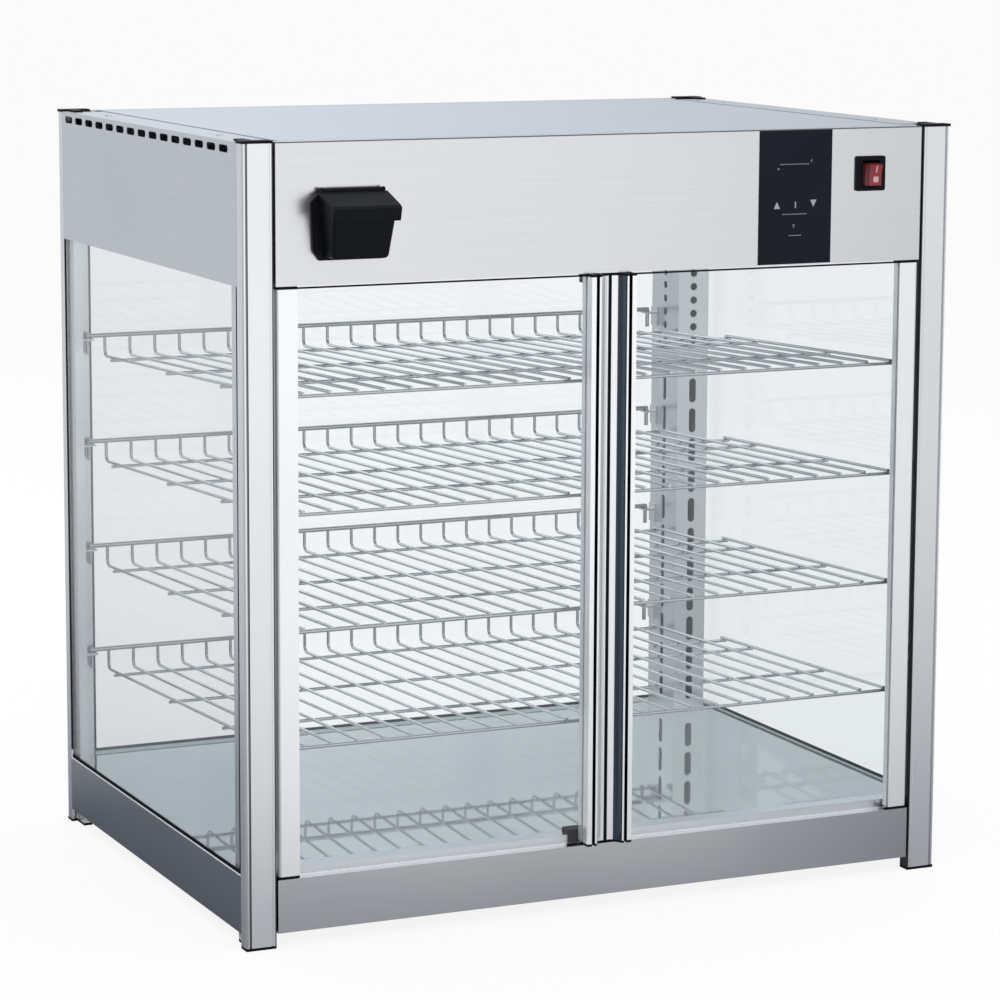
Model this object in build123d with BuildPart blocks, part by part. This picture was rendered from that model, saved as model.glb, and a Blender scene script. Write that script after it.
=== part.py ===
from build123d import *
import math
import os

# Heated display case: glass cabinet between four corner posts, with two hinged
# glass doors, four wire shelves, a hot-air duct and the works in the top.
# Millimetres, +Z up, doors face -Y. The origin is the bottom centre of the
# whole object's box, so the case sits a little back of it.

# Overall case
case_width = 690.0
case_depth = 500.0
case_height = 700.0

# General clearances and sheet
sheet = 1.0
slip = 0.3
running_fit = 0.05
over = 1.0

# Corner posts, an L section with a rebate for the side panels
post_face = 27.7
post_side = 13.3
post_rebate = 5.5
post_leg = 8.5
post_leg_reach = 34.0
post_wall = 2.0
post_front_wall = 2.5
post_corner_radius = 2.5
groove_width = 2.0
groove_depth = 1.2
groove_gap = 0.3
fine_groove_width = 1.2
fine_groove_depth = 0.7
fine_groove_inset = 2.6
cap_thickness = 2.4
foot_thickness = 2.5
cap_overhang = 0.6
cap_spigot = 12.0
cap_clearance = 0.15

# Heights of the bands, from the surface the case stands on
skirt_bottom = 13.0
front_skirt_top = 60.5
side_skirt_top = 65.5
floor_top = 65.0
fascia_height = 122.0
panel_drop = 1.5
ledge_rise = 0.5

# Fascia, panels and skirts
panel_gap = 1.8
side_panel_gap = 0.4
flange = 12.0
end_flange_gap = 1.0
cover_gap = 1.0
front_ledge = 24.0
fascia_ledge = 28.0
side_flange = 33.0
frame_bar = 30.0
frame_thickness = 3.0

# Side vents
vent_margin = 8.0
vent_pitch = 30.2
vent_length = 21.5
vent_height = 6.4
vent_drop = 7.2
vent_offset = 5.5
rear_vent_margin = 95.0
rear_vent_pitch = 36.0
rear_vent_length = 24.0
rear_vent_drop = 24.0

# Fixed glass and seals
glass_thickness = 4.0
glass_overlap = 14.0
seal_width = 3.0
seal_thickness = 0.75

# Doors
door_gap = 3.0
door_meeting_gap = 1.2
door_end_gap = 0.4
door_plug = 2.2
door_seal = 1.2
stile_width = 19.0
stile_depth = 12.0
stile_wall = 1.6
stile_radius = 3.0
pivot_inset = 7.5
glass_setback = 1.2
glass_channel = 4.6
glass_bite = 4.0
glass_end_gap = 0.3
handle_width = 22.0
handle_ridge = 8.5
handle_rib = 4.5
handle_slot = 3.0
handle_tip = 2.0
handle_edge = 0.5
handle_front_wall = 2.6
plug_spigot = 9.0
pin_radius = 2.5
pin_reach = 9.0
pin_head_radius = 4.5
pin_head = 1.8
pin_end_gap = 0.6
striker_thickness = 1.0
striker_width = 16.0
striker_height = 11.0
striker_inset = 1.0
catch_gap = 0.3

# Catches and sill
catch_low_half = 31.0
catch_low_height = 12.0
catch_top_half = 18.0
catch_top_height = 10.0
catch_depth = 14.0
sill_setback = 15.0
sill_height = 7.5
sill_wall = 1.5
sill_top = 16.0

# Air duct in the rear right corner
duct_post_gap = 6.5
duct_width = 34.5
duct_depth = 59.0
duct_rear_gap = 14.0
duct_wall = 1.2
duct_hole = 7.6
duct_hole_pitch = 13.8
duct_hole_count = 8
duct_hole_drop = 25.5
duct_slot = 25.0
duct_slot_pitch = 31.2
duct_slot_drop = 174.1

# Shelves
shelf_count = 4
shelf_pitch = 103.2
shelf_top_drop = 94.5
shelf_tilt = 2.35
shelf_drop = 20.2
rail_back = 20.0
rail_end_gap = 9.0
rail_radius = 2.25
leg_radius = 2.0
leg_length = 18.0
wire_radius = 1.5
wire_pitch = 25.4
wire_inset = 17.5
deck_side_gap = 30.0
bend_radius = 6.0
bend_run = 9.0
weld = 0.4
cross_overhang = 3.5
cross_rear = 27.0
notch_clear = 78.0
cross_middle_gap = 144.0
cross_front_gap = 117.0
deck_front_gap = 32.0
wire_stub = 4.0
wire_end = 1.5
notch_margin = 4.0
notch_wires = 3
bracket_sheet = 1.5
bracket_height = 19.0
bracket_depth = 15.0
bracket_past_leg = 4.5
bracket_rise = 5.0
bracket_trim = 1.5
leg_clearance = 0.3

# Water hopper on the fascia
hopper_side = 97.5
hopper_width = 59.0
hopper_foot_width = 51.4
hopper_lift = 23.5
hopper_reach = 36.2
hopper_foot_reach = 26.0
hopper_height = 55.0
hopper_front_height = 43.5
hopper_round = 4.0
hopper_wall = 2.2
hopper_flange_side = 7.4
hopper_flange_drop = 2.4
hopper_flange = 3.0
hopper_chamfer = 8.0
hopper_flare = 2.0
hopper_rear_wall = 3.6
lid_thickness = 2.2
lid_lip = 11.0
lid_lip_thickness = 4.0
lid_lip_foot = 1.2
lid_side = 1.6
lid_knuckle = 2.2
lid_pin_radius = 1.2
lid_gap = 0.3
mouth_height = 30.0

# Control panel and switch
control_side = 160.7
control_edge = 1.0
control_bevel = 0.4
control_width = 74.0
control_thickness = 1.2
switch_side = 83.8
switch_lift = 80.4
bezel_width = 30.0
bezel_height = 31.5
bezel_reach = 3.0
bezel_wall = 3.5
bezel_radius = 2.0
bezel_bevel = 0.6
switch_body = 22.0
switch_depth = 24.0
switch_floor = 3.0
terminal_offset = 6.0
terminal_width = 6.0
terminal_length = 8.0
terminal_thickness = 0.8
rocker_width = 17.0
rocker_height = 19.0
rocker_end_gap = 2.4
rocker_heel = 2.0
rocker_tail = 3.0
rocker_tail_height = 11.4
rocker_dip = 1.4
rocker_reach = 8.0
rocker_angle = 8.0
rocker_gap = 0.4
trunnion_radius = 1.2
trunnion_reach = 1.4

# Works in the top
air_box_side = 18.0
air_box_width = 208.0
air_box_front = 205.0
air_box_rear = 16.0
air_box_height = 54.0
fan_side = 140.0
fan_back = 105.0
wheel_radius = 58.0
wheel_height = 28.0
wheel_lift = 8.0
wheel_blades = 24
blade_depth = 12.0
blade_thickness = 1.2
hub_radius = 9.0
hub_lift = 4.0
shaft_radius = 4.0
shaft_gap = 2.0
motor_radius = 38.0
motor_height = 46.0
motor_foot = 2.5
motor_foot_reach = 8.0
motor_round = 4.0
heater_radius = 76.0
heater_rod = 3.6
heater_lift = 18.0
heater_leg_gap = 24.0
heater_leg_rise = 11.0
grille_rings = 5
grille_ring_holes = 6
grille_radius = 46.0
grille_hole = 3.0
tray_width = 96.0
tray_depth = 120.0
tray_height = 22.0
tray_wall = 1.5
tray_setback = 18.7
board_width = 62.0
board_height = 86.0
board_gap = 6.0
board_thickness = 1.6
board_post_inset = 4.0
chip_rise = 28.7
chip_widths = (18.0, 24.0, 14.0)
chip_depths = (12.0, 6.0, 16.0)
chip_heights = (15.0, 12.0, 20.0)

# Power inlet in the rear panel
inlet_side = 115.0
inlet_lift = 22.0
inlet_flange_width = 48.0
inlet_flange_height = 28.0
inlet_flange = 2.0
inlet_mouth_width = 24.4
inlet_mouth_height = 16.4
inlet_mouth_depth = 17.0
inlet_wall = 1.6
inlet_corner = 3.0
inlet_blade = 9.0
inlet_blade_width = 2.0
inlet_blade_height = 4.0
inlet_blade_spread = 7.0
inlet_outer_drop = 1.5
inlet_earth_rise = 2.5

# Fasteners
screw_radius = 3.2
screw_head = 1.6
screw_shank = 1.5
flange_screw_inset = 100.0
rear_screw_inset = 24.0

# Places worked out from the sizes above
lid_reach = hopper_reach + lid_gap + lid_lip_thickness
half_width = case_width / 2
panel_top = case_height - panel_drop
fascia_bottom = panel_top - fascia_height
y_front = (lid_reach - inlet_flange - case_depth) / 2
y_back = y_front + case_depth
post_in = half_width - post_face
post_leg_out = half_width - post_rebate
post_leg_in = post_leg_out - post_leg
post_base = foot_thickness
post_top = case_height - cap_thickness
side_y_front = y_front + post_side + side_panel_gap
side_y_back = y_back - post_side - side_panel_gap
leg_y_front = y_front + post_leg_reach + side_panel_gap
leg_y_back = y_back - post_leg_reach - side_panel_gap
frame_y_front = y_front + post_side
frame_y_back = y_back - post_side
frame_top_z = panel_top - sheet
frame_low_top = floor_top - sheet
ceiling_z = fascia_bottom + sheet
works_floor = ceiling_z + sheet
fan_y = y_back - fan_back
box_top = works_floor + air_box_height
inlet_z = box_top + inlet_lift
glass_out = half_width - sheet
glass_in = glass_out - glass_thickness
panel_half = post_in - panel_gap
side_ledge_top = front_skirt_top + ledge_rise
glass_low = side_ledge_top + slip
glass_high = fascia_bottom + glass_overlap
pan_top = skirt_bottom + 2 * sheet
sill_y = y_front + sill_setback
hopper_centre = hopper_side - half_width
hopper_bottom = fascia_bottom + hopper_lift
hopper_rear_top = hopper_bottom + hopper_height
hopper_front_top = hopper_bottom + hopper_front_height
control_centre = half_width - control_side
switch_centre = half_width - switch_side
switch_height = fascia_bottom + switch_lift
fan_x = half_width - fan_side
inlet_x = half_width - inlet_side
air_box_right = half_width - air_box_side
air_box_left = air_box_right - air_box_width
duct_left = post_leg_in - duct_post_gap - duct_width
duct_hole_start = fascia_bottom - duct_hole_drop
duct_slot_start = fascia_bottom - duct_slot_drop
duct_slot_count = 1 + int((duct_slot_start - duct_slot - floor_top) / duct_slot_pitch)
shelf_first = fascia_bottom - shelf_top_drop

os.makedirs("parts", exist_ok=True)


def block(x_from, x_to, y_from, y_to, z_from, z_to, mode=Mode.ADD):
    """A box between two corners, for the part being built."""
    centre = ((x_from + x_to) / 2, (y_from + y_to) / 2, (z_from + z_to) / 2)
    with Locations(centre):
        Box(x_to - x_from, y_to - y_from, z_to - z_from, mode=mode)


def rod(start, end, radius, mode=Mode.ADD):
    """A round bar or hole from one point to another."""
    path = Vector(*end) - Vector(*start)
    with Locations(Plane(origin=start, z_dir=path).location):
        Cylinder(radius, path.length, align=(Align.CENTER, Align.CENTER, Align.MIN), mode=mode)


def parallel_rods(starts, direction, length, radius):
    """Round bars of one length, side by side, joined in one step."""
    with Locations(*[Plane(origin=start, z_dir=direction).location for start in starts]):
        Cylinder(radius, length, align=(Align.CENTER, Align.CENTER, Align.MIN))


def save(part, name):
    """Label a finished piece and write its file."""
    part.label = name
    export_step(part, f"parts/{name}.step")


def post_point(x_side, y_side, inward, along):
    """A point of a corner post's section, measured from its outer corner."""
    face = y_front if y_side < 0 else y_back
    return (x_side * (half_width - inward), face - y_side * along)


def post_outline(x_side, y_side, grow=0.0):
    """The L outline of a post, grown on its two outer faces."""
    corners = [
        (-grow, -grow),
        (post_face, -grow),
        (post_face, post_side),
        (half_width - post_leg_in, post_side),
        (half_width - post_leg_in, post_leg_reach),
        (post_rebate, post_leg_reach),
        (post_rebate, post_side),
        (-grow, post_side),
    ]
    Polygon(*[post_point(x_side, y_side, *corner) for corner in corners], align=None)


def post_cut(x_side, y_side, inward_from, inward_to, along_from, along_to, z_from, z_to, mode):
    """A block placed in a post's own corner measures."""
    x_a, y_a = post_point(x_side, y_side, inward_from, along_from)
    x_b, y_b = post_point(x_side, y_side, inward_to, along_to)
    block(min(x_a, x_b), max(x_a, x_b), min(y_a, y_b), max(y_a, y_b), z_from, z_to, mode)


# Corner posts
corners = {
    "post_front_left": (-1, -1),
    "post_front_right": (1, -1),
    "post_rear_left": (-1, 1),
    "post_rear_right": (1, 1),
}
for post_name, (x_side, y_side) in corners.items():
    with BuildPart() as post:
        with BuildSketch(Plane.XY.offset(post_base)):
            post_outline(x_side, y_side)
        extrude(amount=post_top - post_base)
        outer = Vector(*post_point(x_side, y_side, 0, 0), 0)
        upright = post.edges().filter_by(Axis.Z)
        corner_edge = upright.sort_by(
            lambda e: (e.center() - outer).X ** 2 + (e.center() - outer).Y ** 2)[0]
        fillet(corner_edge, post_corner_radius)
        groove_start = post_corner_radius + groove_gap
        post_cut(x_side, y_side, groove_start, groove_start + groove_width, -over, groove_depth,
                 post_base, post_top, Mode.SUBTRACT)
        post_cut(x_side, y_side, post_face - fine_groove_inset - fine_groove_width,
                 post_face - fine_groove_inset, -over, fine_groove_depth,
                 post_base, post_top, Mode.SUBTRACT)
        post_cut(x_side, y_side, post_rebate + 2 * post_wall, post_face - post_wall,
                 post_front_wall, post_side - post_wall, post_base, post_top, Mode.SUBTRACT)
    save(post.part, post_name)


def post_plugs(name, overhang, plate_from, plate_to, spigot_from, spigot_to):
    """One plastic plug for each post: a plate over its end and a spigot inside."""
    with BuildPart() as plugs:
        for x_side, y_side in corners.values():
            with BuildSketch(Plane.XY.offset(plate_from)):
                post_outline(x_side, y_side, overhang)
            extrude(amount=plate_to - plate_from)
            post_cut(x_side, y_side, post_rebate + 2 * post_wall + cap_clearance,
                     post_face - post_wall - cap_clearance, post_front_wall + cap_clearance,
                     post_side - post_wall - cap_clearance, spigot_from, spigot_to, Mode.ADD)
    save(plugs.part, name)


post_plugs("post_caps", cap_overhang, post_top, case_height, post_top - cap_spigot, post_top)
post_plugs("post_feet", 0, 0, post_base, post_base, post_base + cap_spigot)


# Frame rings between the posts, top and bottom
def frame_ring(name, top, front_bar_from):
    """A flat bar ring that ties the four posts together."""
    with BuildPart() as ring:
        block(-post_leg_in, post_leg_in, frame_y_front, frame_y_back, top - frame_thickness, top)
        block(-post_leg_in + frame_bar, post_leg_in - frame_bar, frame_y_front + frame_bar,
              frame_y_back - frame_bar, top - frame_thickness, top, Mode.SUBTRACT)
        if front_bar_from > frame_y_front:
            block(-panel_half, panel_half, frame_y_front, front_bar_from,
                  top - frame_thickness, top, Mode.SUBTRACT)
    save(ring.part, name)


frame_ring("upper_frame", frame_top_z, frame_y_front)
frame_ring("lower_frame", frame_low_top, sill_y + sill_wall)


def inner_plate(side_reach, z_from, z_to, front_reach=0.0, rear_reach=0.0):
    """A plate cut round the four posts, reaching the sides between them."""
    block(-post_leg_in + slip, post_leg_in - slip, side_y_front, side_y_back, z_from, z_to)
    block(-side_reach, side_reach, leg_y_front, leg_y_back, z_from, z_to)
    if front_reach:
        block(-panel_half, panel_half, y_front + front_reach, side_y_front, z_from, z_to)
    if rear_reach:
        block(-panel_half, panel_half, side_y_back, y_back - rear_reach, z_from, z_to)


# Top cover between the side flanges
with BuildPart() as top_cover:
    cover_half = half_width - sheet - side_flange - cover_gap
    block(-cover_half, cover_half, y_front + flange + cover_gap, y_back - flange - cover_gap,
          frame_top_z, panel_top)
save(top_cover.part, "top_cover")

# Screws: side flanges, rear panel and rear skirt
screw_rows_x = [-1, 1]
flange_screws = [(side * (half_width - sheet - side_flange / 2), y_pos)
                 for side in screw_rows_x
                 for y_pos in (y_front + flange_screw_inset, y_back - flange_screw_inset)]
rear_screws = [(side * (panel_half - flange), z_pos)
               for side in screw_rows_x
               for z_pos in (fascia_bottom + rear_screw_inset, panel_top - rear_screw_inset)]

# Front fascia with its hopper mouth and switch hole
mouth_low = hopper_bottom + hopper_wall
with BuildPart() as fascia:
    block(-panel_half, panel_half, y_front, y_front + sheet, fascia_bottom, panel_top)
    block(-panel_half, panel_half, y_front + sheet, y_front + flange, frame_top_z, panel_top)
    block(-panel_half, panel_half, y_front + sheet, y_front + fascia_ledge,
          fascia_bottom, ceiling_z)
    mouth_half = hopper_foot_width / 2 - hopper_wall
    block(hopper_centre - mouth_half, hopper_centre + mouth_half, y_front - sheet,
          y_front + 2 * sheet, mouth_low, mouth_low + mouth_height, Mode.SUBTRACT)
    block(switch_centre - switch_body / 2 - slip, switch_centre + switch_body / 2 + slip,
          y_front - sheet, y_front + 2 * sheet, switch_height - bezel_height / 2 + bezel_wall / 2,
          switch_height + bezel_height / 2 - bezel_wall / 2, Mode.SUBTRACT)
save(fascia.part, "fascia")


# Upper side panels with their vents
vent_count = int((side_y_back - side_y_front - 2 * vent_margin) / vent_pitch)
rear_vent_count = int((panel_half - rear_vent_margin) * 2 / rear_vent_pitch)


def side_panel(name, side):
    """Upper side sheet, its inward top flange and a row of rounded vents."""
    skin = side * half_width
    inner = side * (half_width - sheet)
    with BuildPart() as panel:
        block(min(skin, inner), max(skin, inner), side_y_front, side_y_back,
              fascia_bottom, panel_top)
        deep = side * (half_width - sheet - side_flange)
        leg_reach = side * (post_leg_out + slip)
        block(min(inner, leg_reach), max(inner, leg_reach), side_y_front, side_y_back,
              frame_top_z, panel_top)
        block(min(inner, deep), max(inner, deep), leg_y_front, leg_y_back, frame_top_z, panel_top)
        for end_from in (side_y_front, side_y_back - sheet):
            block(min(inner, side * post_leg_out), max(inner, side * post_leg_out),
                  end_from, end_from + sheet, glass_high + end_flange_gap, frame_top_z)
        vent_plane = Plane(origin=(skin, vent_offset + (y_front + y_back) / 2,
                                   panel_top - vent_drop),
                           x_dir=(0, 1, 0), z_dir=(1, 0, 0))
        with BuildSketch(vent_plane):
            with GridLocations(vent_pitch, vent_height, vent_count, 1):
                SlotOverall(vent_length, vent_height)
        extrude(amount=2 * sheet, both=True, mode=Mode.SUBTRACT)
        for x_pos, y_pos in flange_screws:
            if x_pos * side > 0:
                rod((x_pos, y_pos, frame_top_z - sheet), (x_pos, y_pos, panel_top + sheet),
                    screw_shank + slip, Mode.SUBTRACT)
    save(panel.part, name)


side_panel("side_panel_left", -1)
side_panel("side_panel_right", 1)

# Rear panel with vents and the inlet's hole
with BuildPart() as rear_panel:
    block(-panel_half, panel_half, y_back - sheet, y_back, fascia_bottom, panel_top)
    block(-panel_half, panel_half, y_back - flange, y_back - sheet, frame_top_z, panel_top)
    flange_low = glass_high + end_flange_gap
    block(-panel_half, panel_half, y_back - flange, y_back - sheet, flange_low,
          flange_low + sheet)
    rear_plane = Plane(origin=(0, y_back, panel_top - rear_vent_drop), x_dir=(1, 0, 0),
                       z_dir=(0, -1, 0))
    with BuildSketch(rear_plane):
        with GridLocations(rear_vent_pitch, vent_height, rear_vent_count, 1):
            SlotOverall(rear_vent_length, vent_height)
    extrude(amount=2 * sheet, both=True, mode=Mode.SUBTRACT)
    block(inlet_x - inlet_mouth_width / 2 - inlet_wall - slip,
          inlet_x + inlet_mouth_width / 2 + inlet_wall + slip, y_back - 2 * sheet, y_back + sheet,
          inlet_z - inlet_mouth_height / 2 - inlet_wall - slip,
          inlet_z + inlet_mouth_height / 2 + inlet_wall + slip, Mode.SUBTRACT)
    for x_pos, z_pos in rear_screws:
        rod((x_pos, y_back - 2 * sheet, z_pos), (x_pos, y_back + sheet, z_pos),
            screw_shank + slip, Mode.SUBTRACT)
save(rear_panel.part, "rear_panel")

# Front and rear skirts
with BuildPart() as front_skirt:
    block(-panel_half, panel_half, y_front, y_front + sheet, skirt_bottom, front_skirt_top)
    block(-panel_half, panel_half, y_front + sheet, y_front + front_ledge,
          front_skirt_top - sheet, front_skirt_top)
    block(-panel_half, panel_half, y_front + sheet, y_front + flange, skirt_bottom,
          skirt_bottom + sheet)
    for side in screw_rows_x:
        pivot_x = side * (post_in - door_gap - pivot_inset)
        pivot_y = y_front + stile_depth / 2
        rod((pivot_x, pivot_y, front_skirt_top - 2 * sheet),
            (pivot_x, pivot_y, front_skirt_top + sheet), pin_radius, Mode.SUBTRACT)
save(front_skirt.part, "front_skirt")

with BuildPart() as rear_skirt:
    block(-panel_half, panel_half, y_back - sheet, y_back, skirt_bottom, side_skirt_top)
    block(-panel_half, panel_half, y_back - flange, y_back - sheet,
          side_ledge_top - sheet, side_ledge_top)
    block(-panel_half, panel_half, y_back - flange, y_back - sheet, skirt_bottom,
          skirt_bottom + sheet)
save(rear_skirt.part, "rear_skirt")


def side_skirt(name, side):
    """Lower side sheet with the ledge that carries the glass."""
    skin = side * half_width
    inner = side * (half_width - sheet)
    ledge = side * post_leg_in
    with BuildPart() as skirt:
        block(min(skin, inner), max(skin, inner), side_y_front, side_y_back,
              skirt_bottom, side_skirt_top)
        block(min(inner, ledge), max(inner, ledge), leg_y_front, leg_y_back,
              side_ledge_top - sheet, side_ledge_top)
        block(min(inner, ledge), max(inner, ledge), leg_y_front, leg_y_back,
              skirt_bottom, skirt_bottom + sheet)
        for end_from in (side_y_front, side_y_back - sheet):
            block(min(inner, side * post_leg_out), max(inner, side * post_leg_out),
                  end_from, end_from + sheet, skirt_bottom, side_ledge_top - 2 * sheet)
    save(skirt.part, name)


side_skirt("side_skirt_left", -1)
side_skirt("side_skirt_right", 1)

# Base pan on the skirts' bottom flanges, floor plate on the lower frame
with BuildPart() as base_pan:
    inner_plate(half_width - sheet - slip, skirt_bottom + sheet, pan_top,
                2 * sheet, 2 * sheet)
save(base_pan.part, "base_pan")

with BuildPart() as floor_plate:
    inner_plate(glass_in - slip, frame_low_top, floor_top)
    block(-panel_half, panel_half, side_y_front, sill_y + sill_wall, frame_low_top, floor_top,
          Mode.SUBTRACT)
save(floor_plate.part, "floor_plate")

# Sill behind the door bottoms
with BuildPart() as door_sill:
    block(-panel_half, panel_half, sill_y, sill_y + sill_wall, front_skirt_top,
          front_skirt_top + sill_height)
    block(-panel_half, panel_half, sill_y + sill_wall, sill_y + sill_top,
          front_skirt_top + sill_height - sheet, front_skirt_top + sill_height)
    block(-panel_half, panel_half, sill_y + sill_top - sheet, sill_y + sill_top,
          floor_top, front_skirt_top + sill_height - sheet)
save(door_sill.part, "door_sill")


# Fixed glass
def side_glass(name, side):
    """Side pane, behind the panel above and the skirt below."""
    out = side * glass_out
    inn = side * glass_in
    with BuildPart() as pane:
        block(min(out, inn), max(out, inn), side_y_front, side_y_back, glass_low, glass_high)
    save(pane.part, name)


side_glass("glass_left", -1)
side_glass("glass_right", 1)

with BuildPart() as glass_rear:
    block(-post_in + slip, post_in - slip, y_back - sheet - glass_thickness, y_back - sheet,
          glass_low, glass_high)
save(glass_rear.part, "glass_rear")

# Black seals on the outer faces of the fixed glass
with BuildPart() as glass_seals:
    seal_top = fascia_bottom - slip
    seal_low = side_skirt_top + slip
    for side in screw_rows_x:
        seal_in = side * glass_out
        seal_out = side * (glass_out + seal_thickness)
        x_pair = sorted((seal_in, seal_out))
        block(*x_pair, side_y_front, side_y_back, seal_low, seal_low + seal_width)
        for y_from in (side_y_front, side_y_back - seal_width):
            block(*x_pair, y_from, y_from + seal_width, seal_low, seal_top)
    y_pair = (y_back - sheet, y_back - sheet + seal_thickness)
    block(-panel_half, panel_half, *y_pair, seal_low, seal_low + seal_width)
    for side in screw_rows_x:
        x_pair = sorted((side * panel_half, side * (panel_half - seal_width)))
        block(*x_pair, *y_pair, seal_low, seal_top)
save(glass_seals.part, "glass_seals")

# Chamber ceiling with the fan's grille and the duct's mouth
duct_back = y_back - duct_rear_gap
duct_front = duct_back - duct_depth
with BuildPart() as chamber_ceiling:
    inner_plate(glass_in - slip, ceiling_z, works_floor, 2 * sheet,
                sheet + glass_thickness + slip)
    for ring_step in range(1, grille_rings + 1):
        ring_radius = grille_radius * ring_step / grille_rings
        with BuildSketch(Plane.XY.offset(works_floor)):
            with Locations((fan_x, fan_y)):
                with PolarLocations(ring_radius, grille_ring_holes * ring_step):
                    Circle(grille_hole)
        extrude(amount=-2 * sheet, mode=Mode.SUBTRACT)
    block(duct_left + 2 * duct_wall, duct_left + duct_width - 2 * duct_wall,
          duct_front + 2 * duct_wall, duct_back - 2 * duct_wall, ceiling_z - sheet,
          works_floor + sheet, Mode.SUBTRACT)
save(chamber_ceiling.part, "chamber_ceiling")

# Perforated air duct from the floor to the ceiling
with BuildPart() as air_duct:
    block(duct_left, duct_left + duct_width, duct_front, duct_back, floor_top, ceiling_z)
    block(duct_left + duct_wall, duct_left + duct_width - duct_wall, duct_front + duct_wall,
          duct_back - duct_wall, floor_top, ceiling_z, Mode.SUBTRACT)
    front_face = Plane(origin=(duct_left + duct_width / 2, duct_front, 0), x_dir=(1, 0, 0),
                       z_dir=(0, -1, 0))
    left_face = Plane(origin=(duct_left, duct_front + duct_depth / 2, 0), x_dir=(0, 1, 0),
                      z_dir=(1, 0, 0))
    for face_plane in (front_face, left_face):
        with BuildSketch(face_plane):
            for hole in range(duct_hole_count):
                with Locations((0, duct_hole_start - hole * duct_hole_pitch)):
                    Circle(duct_hole / 2)
            for slot in range(duct_slot_count):
                with Locations((0, duct_slot_start - slot * duct_slot_pitch)):
                    SlotOverall(duct_slot, duct_hole, rotation=90)
        extrude(amount=2 * duct_wall, both=True, mode=Mode.SUBTRACT)
save(air_duct.part, "air_duct")

# Shelves, made once with the rail at height 0 and then set in four places
rail_y = y_back - rail_back
rail_left = rail_end_gap - post_leg_in
rail_right = duct_left - rail_end_gap
wire_first = rail_left + wire_inset
wire_count = 1 + int((glass_in - deck_side_gap - wire_first) / wire_pitch)
cross_front = rail_y - y_front - deck_front_gap
cross_front_half = cross_front - cross_front_gap
cross_middle = cross_front_half - cross_middle_gap
cross_notch = rail_y - duct_front + notch_clear
tilt = math.radians(shelf_tilt)
forward = Vector(0, -math.cos(tilt), math.sin(tilt))
upward = Vector(0, math.sin(tilt), math.cos(tilt))


def deck_point(x_pos, ahead, above=0.0):
    """A point of the tilted deck, measured forward from under a rail at height 0."""
    origin = Vector(x_pos, rail_y, -shelf_drop)
    return tuple(origin + forward * ahead + upward * above)


wire_places = [wire_first + i * wire_pitch for i in range(wire_count)]
upright_limit = rail_right - leg_radius - notch_margin - wire_radius
duct_limit = duct_left - notch_margin - wire_radius
upright_places = [x_pos for x_pos in wire_places if x_pos < upright_limit]
beside_duct = [x_pos for x_pos in wire_places if upright_limit <= x_pos < duct_limit]
before_duct = [x_pos for x_pos in wire_places if x_pos >= duct_limit]
cross_left = wire_places[0] - cross_overhang
cross_right = wire_places[-1] + cross_overhang
rear_right = max(upright_places + beside_duct) + cross_overhang
notch_left = cross_right - notch_wires * wire_pitch - 2 * cross_overhang
cross_drop = -2 * wire_radius + weld
deck_end = cross_front + wire_end

# Front-to-back wires on cross wires, cut back in front of the duct
with BuildPart() as deck_pattern:
    for places, start in ((upright_places, bend_run), (beside_duct, cross_rear - wire_stub),
                          (before_duct, cross_notch - wire_stub)):
        if places:
            parallel_rods([deck_point(x_pos, start) for x_pos in places], forward,
                          deck_end - start, wire_radius)
    parallel_rods([deck_point(cross_left, ahead, cross_drop)
                   for ahead in (cross_middle, cross_front_half, cross_front)],
                  (1, 0, 0), cross_right - cross_left, wire_radius)
    rod(deck_point(cross_left, cross_rear, cross_drop),
        deck_point(rear_right, cross_rear, cross_drop), wire_radius)
    rod(deck_point(notch_left, cross_notch, cross_drop),
        deck_point(cross_right, cross_notch, cross_drop), wire_radius)

# One bent upright, from the rail down and forward to the deck
with BuildPart() as upright_pattern:
    with BuildLine() as bend:
        FilletPolyline((0, rail_y, 0), deck_point(0, 0), deck_point(0, bend_run),
                       radius=bend_radius)
    with BuildSketch(Plane(origin=(0, rail_y, 0), z_dir=(0, 0, -1))):
        Circle(wire_radius)
    sweep(path=bend.wires()[0])

# Rear rail with its uprights and two legs
with BuildPart() as rail_pattern:
    rod((rail_left, rail_y, 0), (rail_right, rail_y, 0), rail_radius)
    with Locations(*[(x_pos, 0, 0) for x_pos in upright_places]):
        add(upright_pattern.part)
    with Locations((rail_left, rail_y, 0), (rail_right, rail_y, 0)):
        Sphere(rail_radius)
    parallel_rods([(rail_left, rail_y, 0), (rail_right, rail_y, 0)], (0, 0, -1), leg_length,
                  leg_radius)

for shelf in range(shelf_count):
    shelf_z = shelf_first - shelf * shelf_pitch
    with BuildPart() as shelf_deck:
        with Locations((0, 0, shelf_z)):
            add(deck_pattern.part)
    save(shelf_deck.part, f"shelf_{shelf + 1}_deck")
    with BuildPart() as shelf_rail:
        with Locations((0, 0, shelf_z)):
            add(rail_pattern.part)
    save(shelf_rail.part, f"shelf_{shelf + 1}_rail")

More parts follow.
